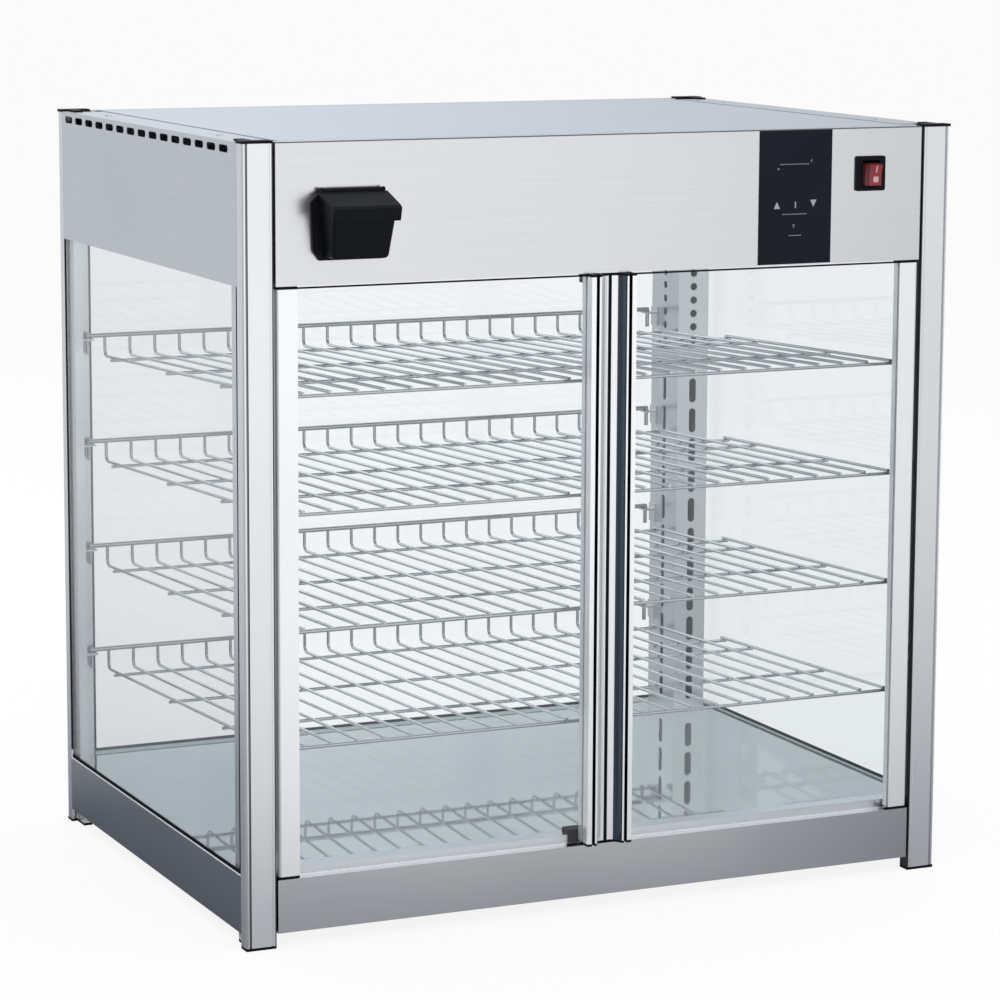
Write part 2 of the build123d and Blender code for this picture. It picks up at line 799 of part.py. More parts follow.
# Brackets that take the shelves' legs: on the rear left post and on the duct
with BuildPart() as shelf_brackets:
    for shelf in range(shelf_count):
        shelf_z = shelf_first - shelf * shelf_pitch
        seat_top = shelf_z - rail_radius - slip
        for wall_x, leg_x, side in ((-post_leg_in, rail_left, 1), (duct_left, rail_right, -1)):
            plate = sorted((wall_x, wall_x + side * bracket_sheet))
            seat = sorted((wall_x, leg_x + side * bracket_past_leg))
            bracket_y = (rail_y - bracket_depth / 2, rail_y + bracket_depth / 2 - bracket_trim)
            plate_top = seat_top + bracket_rise
            block(*plate, *bracket_y, plate_top - bracket_height, plate_top)
            block(*seat, *bracket_y, seat_top - bracket_sheet, seat_top)
            rod((leg_x, rail_y, seat_top + over), (leg_x, rail_y, seat_top - bracket_sheet - over),
                leg_radius + leg_clearance, Mode.SUBTRACT)
save(shelf_brackets.part, "shelf_brackets")

# Doors: hinge stile, glass, handle stile, end caps and strikers
door_low = front_skirt_top + door_end_gap
door_high = fascia_bottom - door_end_gap
stile_low = door_low + door_plug
stile_high = door_high - door_plug
stile_out = post_in - door_gap
stile_in = stile_out - stile_width
pivot_x = stile_out - pivot_inset
pivot_y = y_front + stile_depth / 2
stile_back = y_front + stile_depth
meet_x = door_meeting_gap / 2
handle_face = y_front - handle_ridge
glass_y_front = y_front + glass_setback
glass_y_back = glass_y_front + glass_thickness
channel_from = glass_y_front - (glass_channel - glass_thickness) / 2
channel_to = glass_y_back + (glass_channel - glass_thickness) / 2


def sided(side, x_a, x_b):
    """Two x values mirrored to a side, lowest first."""
    return sorted((side * x_a, side * x_b))


def hinge_stile(name, side):
    """Outer door stile: a hollow section with a channel for the glass."""
    with BuildPart() as stile:
        block(*sided(side, stile_in, stile_out), y_front, stile_back, stile_low, stile_high)
        outer_edges = stile.edges().filter_by(Axis.Z).sort_by(Axis.X)
        fillet(outer_edges[-2:] if side > 0 else outer_edges[:2], stile_radius)
        block(*sided(side, stile_in + glass_bite + stile_wall, stile_out - stile_wall),
              y_front + stile_wall, stile_back - stile_wall, stile_low, stile_high,
              Mode.SUBTRACT)
        block(*sided(side, stile_in - over, stile_in + glass_bite), channel_from, channel_to,
              stile_low, stile_high, Mode.SUBTRACT)
    save(stile.part, name)


def handle_outline(side):
    """Section of the meeting stile: body, outer rib, slot and curved finger pull."""
    ridge_x = handle_width - handle_rib - handle_slot
    tip_x = ridge_x - handle_tip
    body = [
        (tip_x, handle_face),
        (ridge_x, handle_face),
        (ridge_x, y_front - handle_edge),
        (ridge_x + handle_slot, y_front - handle_edge),
        (ridge_x + handle_slot, handle_face),
        (handle_width, handle_face),
        (handle_width, stile_back),
        (meet_x, stile_back),
        (meet_x, y_front + handle_edge),
    ]
    points = [(side * x_pos, y_pos) for x_pos, y_pos in body]
    with BuildLine() as outline:
        Polyline(*points)
        radius_x = tip_x - meet_x
        radius_y = y_front + handle_edge - handle_face
        middle = (side * (meet_x + radius_x * math.sin(math.pi / 4)),
                  handle_face + radius_y * math.cos(math.pi / 4))
        ThreePointArc(points[-1], middle, points[0])
    make_face(outline.line)


def handle_stile(name, side):
    """Meeting stile with its full-height finger pull."""
    with BuildPart() as stile:
        with BuildSketch(Plane.XY.offset(stile_low)):
            handle_outline(side)
        extrude(amount=stile_high - stile_low)
        block(*sided(side, handle_width - glass_bite, handle_width + over),
              channel_from, channel_to, stile_low, stile_high, Mode.SUBTRACT)
        block(*sided(side, meet_x + stile_wall, handle_width - glass_bite - stile_wall),
              y_front + handle_front_wall, stile_back - stile_wall, stile_low, stile_high,
              Mode.SUBTRACT)
    save(stile.part, name)


def door_caps(name, side):
    """Plastic plugs in both ends of both stiles, with the pivot bores and the top seal."""
    with BuildPart() as caps:
        for plate, spigot in (((door_low, stile_low), (stile_low, stile_low + plug_spigot)),
                              ((stile_high, door_high), (stile_high - plug_spigot, stile_high))):
            block(*sided(side, stile_in, stile_out), y_front, stile_back, *plate)
            outer_edges = caps.edges().filter_by(Axis.Z).filter_by(
                lambda e: plate[0] < e.center().Z < plate[1]
                and abs(abs(e.center().X) - stile_out) < slip)
            fillet(outer_edges, stile_radius)
            hollow = (stile_in + glass_bite + stile_wall + cap_clearance,
                      stile_out - stile_wall - cap_clearance)
            block(*sided(side, *hollow), y_front + stile_wall + cap_clearance,
                  stile_back - stile_wall - cap_clearance, *spigot)
            with BuildSketch(Plane.XY.offset(plate[0])):
                handle_outline(side)
            extrude(amount=plate[1] - plate[0])
            block(*sided(side, meet_x + stile_wall + cap_clearance,
                         handle_width - glass_bite - stile_wall - cap_clearance),
                  y_front + handle_front_wall + cap_clearance,
                  stile_back - stile_wall - cap_clearance, *spigot)
        block(*sided(side, handle_width, stile_in), glass_y_front, glass_y_back, stile_high,
              stile_high + door_seal)
        for low, high in ((door_low - over, door_low + pin_reach),
                          (door_high - pin_reach, door_high + over)):
            rod((side * pivot_x, pivot_y, low), (side * pivot_x, pivot_y, high),
                pin_radius + running_fit, Mode.SUBTRACT)
    save(caps.part, name)


def door_glass(name, side):
    """The door's pane, held in the channels of both stiles."""
    with BuildPart() as pane:
        block(*sided(side, handle_width - glass_bite + glass_end_gap,
                     stile_in + glass_bite - glass_end_gap),
              glass_y_front, glass_y_back, stile_low, stile_high)
    save(pane.part, name)


def door_strikers(name, side):
    """Steel plates behind the handle stile, for the magnetic catches."""
    with BuildPart() as strikers:
        for low in (stile_low, stile_high - striker_height):
            block(*sided(side, meet_x + striker_inset, meet_x + striker_inset + striker_width),
                  stile_back,
                  stile_back + striker_thickness, low, low + striker_height)
    save(strikers.part, name)


for door_name, side in (("left_door", -1), ("right_door", 1)):
    hinge_stile(f"{door_name}_hinge_stile", side)
    handle_stile(f"{door_name}_handle_stile", side)
    door_caps(f"{door_name}_caps", side)
    door_glass(f"{door_name}_glass", side)
    door_strikers(f"{door_name}_strikers", side)

# Hinge pins, headed inside the skirt and the fascia's ledge
with BuildPart() as hinge_pins:
    for side in screw_rows_x:
        low = front_skirt_top - sheet
        rod((side * pivot_x, pivot_y, low),
            (side * pivot_x, pivot_y, door_low + pin_reach - pin_end_gap), pin_radius)
        rod((side * pivot_x, pivot_y, low - pin_head), (side * pivot_x, pivot_y, low),
            pin_head_radius)
        rod((side * pivot_x, pivot_y, door_high - pin_reach + pin_end_gap),
            (side * pivot_x, pivot_y, fascia_bottom), pin_radius)
save(hinge_pins.part, "hinge_pins")

# Magnetic catches behind the meeting stiles
catch_face = stile_back + striker_thickness + catch_gap
with BuildPart() as door_catches:
    block(-catch_low_half, catch_low_half, catch_face, sill_y, front_skirt_top,
          front_skirt_top + catch_low_height)
    block(-catch_low_half, catch_low_half, sill_y, catch_face + catch_depth,
          front_skirt_top + sill_height, front_skirt_top + catch_low_height)
    block(-catch_top_half, catch_top_half, catch_face, catch_face + catch_depth,
          fascia_bottom - catch_top_height, fascia_bottom)
save(door_catches.part, "door_catches")

# Water hopper: flange on the fascia, sloping mouth and a trough inside
hopper_half = hopper_width / 2
slope_run = hopper_reach - hopper_flange
slope = math.atan2(hopper_rear_top - hopper_front_top, slope_run)
lid_axis_y = y_front - hopper_flange - lid_gap - lid_knuckle
lid_axis_z = (hopper_rear_top - (lid_gap + lid_knuckle) * math.tan(slope)
              + (lid_gap + lid_knuckle) / math.cos(slope))
lug_radius = lid_knuckle + lid_gap
pin_start = (hopper_centre - hopper_half, lid_axis_y, lid_axis_z)
pin_end = (hopper_centre + hopper_half, lid_axis_y, lid_axis_z)
with BuildPart() as hopper_body:
    outer_side = [
        (y_front - hopper_flange, hopper_bottom),
        (y_front - hopper_foot_reach, hopper_bottom),
        (y_front - hopper_reach, hopper_front_top),
        (y_front - hopper_flange, hopper_rear_top),
    ]
    with BuildSketch(Plane.YZ.offset(hopper_centre - hopper_half)):
        with BuildLine():
            Polyline(*outer_side, close=True)
        make_face()
    extrude(amount=hopper_width)
    for side in screw_rows_x:
        side_plane = Plane(origin=(hopper_centre, y_front, 0), x_dir=(1, 0, 0), z_dir=(0, -1, 0))
        with BuildSketch(side_plane):
            with BuildLine():
                Polyline((side * hopper_half, hopper_front_top),
                         (side * hopper_foot_width / 2, hopper_bottom),
                         (side * hopper_half, hopper_bottom), close=True)
            make_face()
        extrude(amount=hopper_reach + over, mode=Mode.SUBTRACT)
    front_edges = hopper_body.edges().filter_by(
        lambda e: e.center().Y < y_front - hopper_foot_reach / 2
        and e.center().Z < hopper_front_top - over)
    fillet(front_edges, hopper_round)
    rod(pin_start, pin_end, lug_radius)
    block(pin_start[0], pin_end[0], lid_axis_y - lug_radius, lid_axis_y + lug_radius,
          hopper_front_top, lid_axis_z)
    plate_plane = Plane(origin=(hopper_centre, y_front, 0), x_dir=(1, 0, 0), z_dir=(0, -1, 0))
    plate_low = hopper_bottom - hopper_flange_drop
    plate_half = hopper_half + hopper_flange_side
    with BuildSketch(plate_plane):
        with BuildLine():
            Polyline(
                (-plate_half + hopper_chamfer, plate_low),
                (plate_half - hopper_chamfer, plate_low),
                (plate_half - hopper_flare, plate_low + hopper_chamfer),
                (plate_half, hopper_rear_top - hopper_chamfer),
                (plate_half - hopper_chamfer, hopper_rear_top),
                (-plate_half + hopper_chamfer, hopper_rear_top),
                (-plate_half, hopper_rear_top - hopper_chamfer),
                (-plate_half + hopper_flare, plate_low + hopper_chamfer),
                close=True)
        make_face()
    extrude(amount=hopper_flange)
    hollow_side = [
        (y_front + sheet, hopper_bottom + hopper_wall),
        (y_front - hopper_foot_reach + hopper_wall, hopper_bottom + hopper_wall),
        (y_front - hopper_reach + hopper_wall, hopper_front_top + lug_radius),
        (y_front - hopper_flange - hopper_rear_wall, lid_axis_z),
        (y_front - hopper_flange - hopper_rear_wall, mouth_low + mouth_height),
        (y_front + sheet, mouth_low + mouth_height),
    ]
    with BuildSketch(Plane.YZ.offset(hopper_centre - mouth_half)):
        with BuildLine():
            Polyline(*hollow_side, close=True)
        make_face()
    extrude(amount=2 * mouth_half, mode=Mode.SUBTRACT)
    with BuildSketch(Plane.YZ.offset(hopper_centre - hopper_half + hopper_wall)):
        with BuildLine():
            Polyline(
                (y_front - hopper_flange, hopper_rear_top),
                (y_front - hopper_reach, hopper_front_top),
                (y_front - hopper_reach, lid_axis_z + lug_radius),
                (y_front - hopper_flange, lid_axis_z + lug_radius),
                close=True)
        make_face()
    extrude(amount=hopper_width - 2 * hopper_wall, mode=Mode.SUBTRACT)
    rod(pin_start, pin_end, lid_pin_radius + running_fit, Mode.SUBTRACT)
save(hopper_body.part, "hopper_body")

# Hopper lid: sloping plate with a front lip and a knuckle between the body's lugs
with BuildPart() as hopper_lid:
    under_rise = lid_gap / math.cos(slope)
    lid_rise = lid_thickness / math.cos(slope)
    front_y = y_front - hopper_reach - lid_gap
    front_z = hopper_front_top + under_rise - lid_gap * math.tan(slope)
    lip_y = front_y - lid_lip_thickness
    rear_z = front_z + (lid_axis_y - front_y) * math.tan(slope)
    lid_side_line = [
        (lid_axis_y, rear_z),
        (front_y, front_z),
        (front_y, front_z - lid_lip),
        (front_y - lid_lip_foot, front_z - lid_lip),
        (lip_y, front_z),
        (front_y - lid_lip_foot, front_z + lid_rise),
        (lid_axis_y, rear_z + lid_rise),
    ]
    with BuildSketch(Plane.YZ.offset(hopper_centre - hopper_half - lid_side)):
        with BuildLine():
            Polyline(*lid_side_line, close=True)
        make_face()
    extrude(amount=hopper_width + 2 * lid_side)
    for side in screw_rows_x:
        notch_x = sorted((hopper_centre + side * (hopper_half - hopper_wall - lid_gap),
                          hopper_centre + side * (hopper_half + 2 * lid_side)))
        block(*notch_x, lid_axis_y - lug_radius - lid_gap, lid_axis_y + lug_radius,
              hopper_front_top, lid_axis_z + lug_radius + lid_rise, Mode.SUBTRACT)
    knuckle_half = hopper_half - hopper_wall - lid_gap
    rod((hopper_centre - knuckle_half, lid_axis_y, lid_axis_z),
        (hopper_centre + knuckle_half, lid_axis_y, lid_axis_z), lid_knuckle)
    rod(pin_start, pin_end, lid_pin_radius)
save(hopper_lid.part, "hopper_lid")

# Humidity tray under the hopper's mouth
with BuildPart() as humidity_tray:
    tray_left = hopper_centre - tray_width / 2
    tray_right = hopper_centre + tray_width / 2
    tray_from = y_front + tray_setback
    block(tray_left, tray_right, tray_from, tray_from + tray_depth, works_floor,
          works_floor + tray_height)
    block(tray_left + tray_wall, tray_right - tray_wall, tray_from + tray_wall,
          tray_from + tray_depth - tray_wall, works_floor + tray_wall,
          works_floor + tray_height, Mode.SUBTRACT)
    spout_half = mouth_half - hopper_wall
    block(hopper_centre - spout_half, hopper_centre + spout_half, y_front + sheet + slip,
          tray_from + tray_wall, works_floor + tray_height - tray_wall,
          works_floor + tray_height)
save(humidity_tray.part, "humidity_tray")

# Control panel and the board behind it
with BuildPart() as control_panel:
    block(control_centre - control_width / 2, control_centre + control_width / 2,
          y_front - control_thickness, y_front, fascia_bottom + control_edge,
          panel_top - control_edge)
    front_edges = control_panel.edges().group_by(Axis.Y)[0]
    chamfer(front_edges, control_bevel)
save(control_panel.part, "control_panel")

board_z = (fascia_bottom + panel_top) / 2
board_y = y_front + sheet + board_gap
with BuildPart() as control_board:
    block(control_centre - board_width / 2, control_centre + board_width / 2, board_y,
          board_y + board_thickness, board_z - board_height / 2, board_z + board_height / 2)
    for x_side in screw_rows_x:
        for z_side in screw_rows_x:
            post_x = control_centre + x_side * (board_width / 2 - board_post_inset)
            post_z = board_z + z_side * (board_height / 2 - board_post_inset)
            rod((post_x, y_front + sheet, post_z), (post_x, board_y, post_z), screw_radius)
    for row, (chip_w, chip_d, chip_h) in enumerate(zip(chip_widths, chip_depths, chip_heights)):
        chip_z = board_z + (row - 1) * chip_rise
        block(control_centre - chip_w / 2, control_centre + chip_w / 2,
              board_y + board_thickness, board_y + board_thickness + chip_d,
              chip_z - chip_h / 2, chip_z + chip_h / 2)
save(control_board.part, "control_board")

# Switch bezel with its body, and the rocker
rocker_y = y_front + 2 * sheet
with BuildPart() as switch_bezel:
    bezel_x = (switch_centre - bezel_width / 2, switch_centre + bezel_width / 2)
    bezel_z = (switch_height - bezel_height / 2, switch_height + bezel_height / 2)
    block(*bezel_x, y_front - bezel_reach, y_front, *bezel_z)
    fillet(switch_bezel.edges().filter_by(Axis.Y), bezel_radius)
    chamfer(switch_bezel.edges().group_by(Axis.Y)[0], bezel_bevel)
    body_z = (bezel_z[0] + bezel_wall / 2 + slip, bezel_z[1] - bezel_wall / 2 - slip)
    block(switch_centre - switch_body / 2, switch_centre + switch_body / 2, y_front,
          y_front + switch_depth, *body_z)
    block(switch_centre - rocker_width / 2 - rocker_gap,
          switch_centre + rocker_width / 2 + rocker_gap, y_front - bezel_reach - over,
          y_front + switch_depth - switch_floor, switch_height - rocker_height / 2 - rocker_end_gap,
          switch_height + rocker_height / 2 + rocker_end_gap, Mode.SUBTRACT)
    trunnion_half = rocker_width / 2 + trunnion_reach
    rod((switch_centre - trunnion_half - slip, rocker_y, switch_height),
        (switch_centre + trunnion_half + slip, rocker_y, switch_height),
        trunnion_radius + running_fit, Mode.SUBTRACT)
    for z_pos in (switch_height - terminal_offset, switch_height + terminal_offset):
        block(switch_centre - terminal_width / 2, switch_centre + terminal_width / 2,
              y_front + switch_depth, y_front + switch_depth + terminal_length,
              z_pos - terminal_thickness / 2, z_pos + terminal_thickness / 2)
save(switch_bezel.part, "switch_bezel")

lean = math.radians(rocker_angle)
with BuildPart() as power_rocker:
    rocker_plane = Plane(origin=(switch_centre - rocker_width / 2, rocker_y, switch_height),
                         x_dir=(0, math.cos(lean), math.sin(lean)), z_dir=(1, 0, 0))
    with BuildSketch(rocker_plane):
        with BuildLine():
            half_tall = rocker_height / 2
            half_tail = rocker_tail_height / 2
            front_line = y_front - rocker_reach - rocker_y
            Polyline((front_line, half_tall), (-rocker_heel, half_tall), (rocker_tail, half_tail),
                     (rocker_tail, -half_tail), (-rocker_heel, -half_tall),
                     (front_line, -half_tall))
            ThreePointArc((front_line, half_tall), (front_line + rocker_dip, 0),
                          (front_line, -half_tall))
        make_face()
    extrude(amount=rocker_width)
    rod((switch_centre - trunnion_half, rocker_y, switch_height),
        (switch_centre + trunnion_half, rocker_y, switch_height), trunnion_radius)
save(power_rocker.part, "power_rocker")

# Air box over the fan, the heater and the duct's mouth
box_y_front = y_back - air_box_front
box_y_back = y_back - air_box_rear
heater_leg_x = fan_x - math.sqrt(heater_radius ** 2 - (heater_leg_gap / 2) ** 2)
heater_leg_y = (fan_y - heater_leg_gap / 2, fan_y + heater_leg_gap / 2)
with BuildPart() as air_box:
    block(air_box_left, air_box_right, box_y_front, box_y_back, works_floor, box_top)
    block(air_box_left + sheet, air_box_right - sheet, box_y_front + sheet,
          box_y_back - sheet, works_floor, box_top - sheet, Mode.SUBTRACT)
    rod((fan_x, fan_y, box_top - 2 * sheet), (fan_x, fan_y, box_top + sheet),
        shaft_radius + shaft_gap, Mode.SUBTRACT)
    for leg_y in heater_leg_y:
        rod((heater_leg_x, leg_y, box_top - 2 * sheet), (heater_leg_x, leg_y, box_top + sheet),
            heater_rod + slip, Mode.SUBTRACT)
save(air_box.part, "air_box")

# Fan motor on the air box, with its shaft
with BuildPart() as fan_motor:
    wheel_top = works_floor + wheel_lift + wheel_height
    rod((fan_x, fan_y, box_top), (fan_x, fan_y, box_top + motor_foot),
        motor_radius + motor_foot_reach)
    rod((fan_x, fan_y, box_top + motor_foot), (fan_x, fan_y, box_top + motor_height),
        motor_radius)
    fillet(fan_motor.edges().group_by(Axis.Z)[-1], motor_round)
    rod((fan_x, fan_y, works_floor + wheel_lift), (fan_x, fan_y, box_top + over), shaft_radius)
save(fan_motor.part, "fan_motor")

# Fan wheel: back plate, hub, blades and a front ring
with BuildPart() as fan_wheel:
    wheel_low = works_floor + wheel_lift
    rod((fan_x, fan_y, wheel_top - blade_thickness), (fan_x, fan_y, wheel_top), wheel_radius)
    rod((fan_x, fan_y, wheel_low + hub_lift), (fan_x, fan_y, wheel_top), hub_radius)
    with Locations((fan_x, fan_y, (wheel_low + wheel_top) / 2)):
        with PolarLocations(wheel_radius - blade_depth / 2, wheel_blades):
            Box(blade_depth, blade_thickness, wheel_height)
    with BuildSketch(Plane.XY.offset(wheel_low)):
        with Locations((fan_x, fan_y)):
            Circle(wheel_radius)
            Circle(wheel_radius - blade_depth, mode=Mode.SUBTRACT)
    extrude(amount=blade_thickness)
    rod((fan_x, fan_y, wheel_low - over), (fan_x, fan_y, wheel_top + over),
        shaft_radius + running_fit, Mode.SUBTRACT)
save(fan_wheel.part, "fan_wheel")

# Heating element: an open ring round the wheel, with two legs up to its terminals
with BuildPart() as heating_element:
    heater_z = works_floor + heater_lift
    heater_leg_top = box_top + heater_leg_rise
    for leg_y in heater_leg_y:
        rod((heater_leg_x, leg_y, heater_z), (heater_leg_x, leg_y, heater_leg_top), heater_rod)
        with Locations((heater_leg_x, leg_y, heater_z)):
            Sphere(heater_rod)
    with BuildLine() as ring_path:
        ThreePointArc((heater_leg_x, heater_leg_y[1], heater_z),
                      (fan_x + heater_radius, fan_y, heater_z),
                      (heater_leg_x, heater_leg_y[0], heater_z))
    with BuildSketch(Plane(origin=ring_path.line @ 0, z_dir=ring_path.line % 0)):
        Circle(heater_rod)
    sweep(path=ring_path.wires()[0])
save(heating_element.part, "heating_element")

# Power inlet in the rear panel
with BuildPart() as power_inlet:
    mouth_x = (inlet_x - inlet_mouth_width / 2, inlet_x + inlet_mouth_width / 2)
    mouth_z = (inlet_z - inlet_mouth_height / 2, inlet_z + inlet_mouth_height / 2)
    block(inlet_x - inlet_flange_width / 2, inlet_x + inlet_flange_width / 2, y_back,
          y_back + inlet_flange, inlet_z - inlet_flange_height / 2,
          inlet_z + inlet_flange_height / 2)
    fillet(power_inlet.edges().filter_by(Axis.Y), inlet_corner)
    block(mouth_x[0] - inlet_wall, mouth_x[1] + inlet_wall,
          y_back - inlet_mouth_depth - inlet_wall, y_back,
          mouth_z[0] - inlet_wall, mouth_z[1] + inlet_wall)
    block(*mouth_x, y_back - inlet_mouth_depth, y_back + inlet_flange + over, *mouth_z,
          Mode.SUBTRACT)
    for blade_x, blade_z in ((inlet_x - inlet_blade_spread, inlet_z - inlet_outer_drop),
                             (inlet_x, inlet_z + inlet_earth_rise),
                             (inlet_x + inlet_blade_spread, inlet_z - inlet_outer_drop)):
        block(blade_x - inlet_blade_width / 2, blade_x + inlet_blade_width / 2,
              y_back - inlet_mouth_depth, y_back - inlet_mouth_depth + inlet_blade,
              blade_z - inlet_blade_height / 2, blade_z + inlet_blade_height / 2)
save(power_inlet.part, "power_inlet")

# Pan-head screws in the top flanges and the rear panel
with BuildPart() as panel_screws:
    for x_pos, y_pos in flange_screws:
        rod((x_pos, y_pos, panel_top), (x_pos, y_pos, panel_top + screw_head / 2), screw_radius)
        rod((x_pos, y_pos, frame_top_z), (x_pos, y_pos, panel_top), screw_shank)
    for x_pos, z_pos in rear_screws:
        rod((x_pos, y_back, z_pos), (x_pos, y_back + screw_head, z_pos), screw_radius)
        rod((x_pos, y_back - flange / 2, z_pos), (x_pos, y_back, z_pos), screw_shank)
save(panel_screws.part, "panel_screws")
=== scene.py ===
"""Heated display case: finishes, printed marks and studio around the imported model."""

import math

import bpy
import numpy as np
from bpy.props import FloatProperty, FloatVectorProperty, PointerProperty
from mathutils import Matrix, Vector


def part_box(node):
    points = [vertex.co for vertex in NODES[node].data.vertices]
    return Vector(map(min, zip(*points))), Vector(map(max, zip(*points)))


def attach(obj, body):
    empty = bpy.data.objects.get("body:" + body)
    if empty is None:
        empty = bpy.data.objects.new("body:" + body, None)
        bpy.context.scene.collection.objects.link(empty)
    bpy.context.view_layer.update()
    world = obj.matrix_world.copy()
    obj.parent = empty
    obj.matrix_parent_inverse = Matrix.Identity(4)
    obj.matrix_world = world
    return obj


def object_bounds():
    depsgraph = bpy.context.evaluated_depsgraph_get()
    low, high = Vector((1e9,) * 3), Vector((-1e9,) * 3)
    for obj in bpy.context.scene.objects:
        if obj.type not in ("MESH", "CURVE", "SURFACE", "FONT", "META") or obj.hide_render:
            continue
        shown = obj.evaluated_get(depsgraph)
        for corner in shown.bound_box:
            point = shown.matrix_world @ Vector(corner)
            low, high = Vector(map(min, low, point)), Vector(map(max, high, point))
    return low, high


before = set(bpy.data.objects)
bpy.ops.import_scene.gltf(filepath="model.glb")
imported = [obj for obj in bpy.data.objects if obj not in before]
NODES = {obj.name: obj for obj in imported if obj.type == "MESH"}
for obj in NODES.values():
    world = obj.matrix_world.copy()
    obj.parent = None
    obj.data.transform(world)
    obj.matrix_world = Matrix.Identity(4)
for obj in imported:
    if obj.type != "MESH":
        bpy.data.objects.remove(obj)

bl_info = {
    "name": "Heated Display Case",
    "version": (1, 0, 0),
    "blender": (4, 5, 0),
    "location": "View3D > Sidebar > Display Case",
    "description": "Dresses a heated display case and sets it in a plain studio",
    "category": "Object",
}

CASE_LOW, CASE_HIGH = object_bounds()

# Farther out than any point of the case: where a region has no limit.
FAR = 10.0

# Places of the colour sockets among a Mix node's inputs and outputs.
MIX_COLOURS = (6, 7)
MIX_RESULT = 2

BLACK = (0.0, 0.0, 0.0)
WHITE = (1.0, 1.0, 1.0)

# How many broad patches of tone there are to a metre, in steel and in plastic.
STEEL_PATCHES = 5.0
PLASTIC_PATCHES = 14.0

# Worn plastic: its darkest tone, how much paler it gets, and how much duller.
WEAR_DARKEST = 0.85
WEAR_RANGE = 0.3
WEAR_DULLNESS = 0.12

# Depth of the relief in brushed metal and in moulded plastic, in metres.
BRUSHED_DEPTH = 0.00002
PEBBLE_DEPTH = 0.00004

# How bright the studio is where metal mirrors it, from the rear by the left to the rear.
STUDIO_TONES = (
    (0.00, (0.62, 0.64, 0.67)),
    (0.05, (0.57, 0.59, 0.61)),
    (0.11, (0.62, 0.64, 0.67)),
    (0.17, (0.44, 0.46, 0.50)),
    (0.36, (0.34, 0.36, 0.40)),
    (0.43, (0.90, 0.91, 0.93)),
    (0.46, (1.00, 1.00, 1.00)),
    (0.577, (1.00, 1.00, 1.00)),
    (0.595, (0.66, 0.67, 0.69)),
    (0.66, (0.42, 0.44, 0.47)),
    (0.72, (0.85, 0.87, 0.90)),
    (0.82, (0.95, 0.97, 1.00)),
    (0.87, (0.46, 0.49, 0.54)),
    (0.92, (0.57, 0.61, 0.66)),
    (0.945, (0.75, 0.79, 0.85)),
    (1.00, (0.62, 0.64, 0.67)),
)

# The floor: points on its rim, how dull it is, how much it glows where it is seen, and over
# how many metres the painted shade that it mirrors near the case fades.
RIM_POINTS = 96
FLOOR_ROUGHNESS = 0.9
FLOOR_GLOW = 0.86
FLOOR_FADE = 0.9

# The painted shade that the floor shows in mirrors at the case's foot, where along X front
# turns to right, and how far outside the case its left side starts.
NEAR_FRONT = (0.34, 0.35, 0.37)
NEAR_RIGHT = (0.17, 0.18, 0.20)
NEAR_LEFT = (0.085, 0.095, 0.115)
NEAR_TURN = (0.1, 0.5)
BESIDE = 0.001

# The world's plain light, what it shows overhead, and the upward parts of a direction
# between which that comes in.
WORLD_LIGHT = (0.8, 0.8, 0.8)
OVERHEAD = (0.84, 0.85, 0.86)
OVERHEAD_RISE = (0.35, 0.8)

# Each lamp's name, place, width in metres and power in watts.
LAMPS = (
    ("key", (-1.6, -2.6, 2.6), 2.4, 30.0),
    ("fill", (2.8, -1.6, 1.6), 2.0, 12.0),
    ("top", (0.2, 0.4, 3.0), 2.6, 18.0),
    ("rear", (-0.6, 3.0, 1.8), 2.4, 10.0),
)

# The camera's angles in degrees, its lens in millimetres and its place in metres.
CAMERA_AZIMUTH = -24.699
CAMERA_ELEVATION = 8.874
CAMERA_ROLL = 0.269
CAMERA_LENS = 128.77
CAMERA_SHIFT_Y = -0.04
CAMERA_PLACE = (-1.3971, -3.0375, 0.8986)
CAMERA_REACH = 200


def node_box(name):
    """Lowest and highest corner of a CAD node as arrays."""
    low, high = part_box(name)
    return np.array(low), np.array(high)


def size_setting(name, default, description):
    """A length in metres that a user can change."""
    return FloatProperty(name=name, description=description, default=default, unit="LENGTH")


def colour_setting(name, default, description):
    """A colour that a user can change."""
    return FloatVectorProperty(name=name, description=description, default=default,
                               subtype="COLOR", size=3)


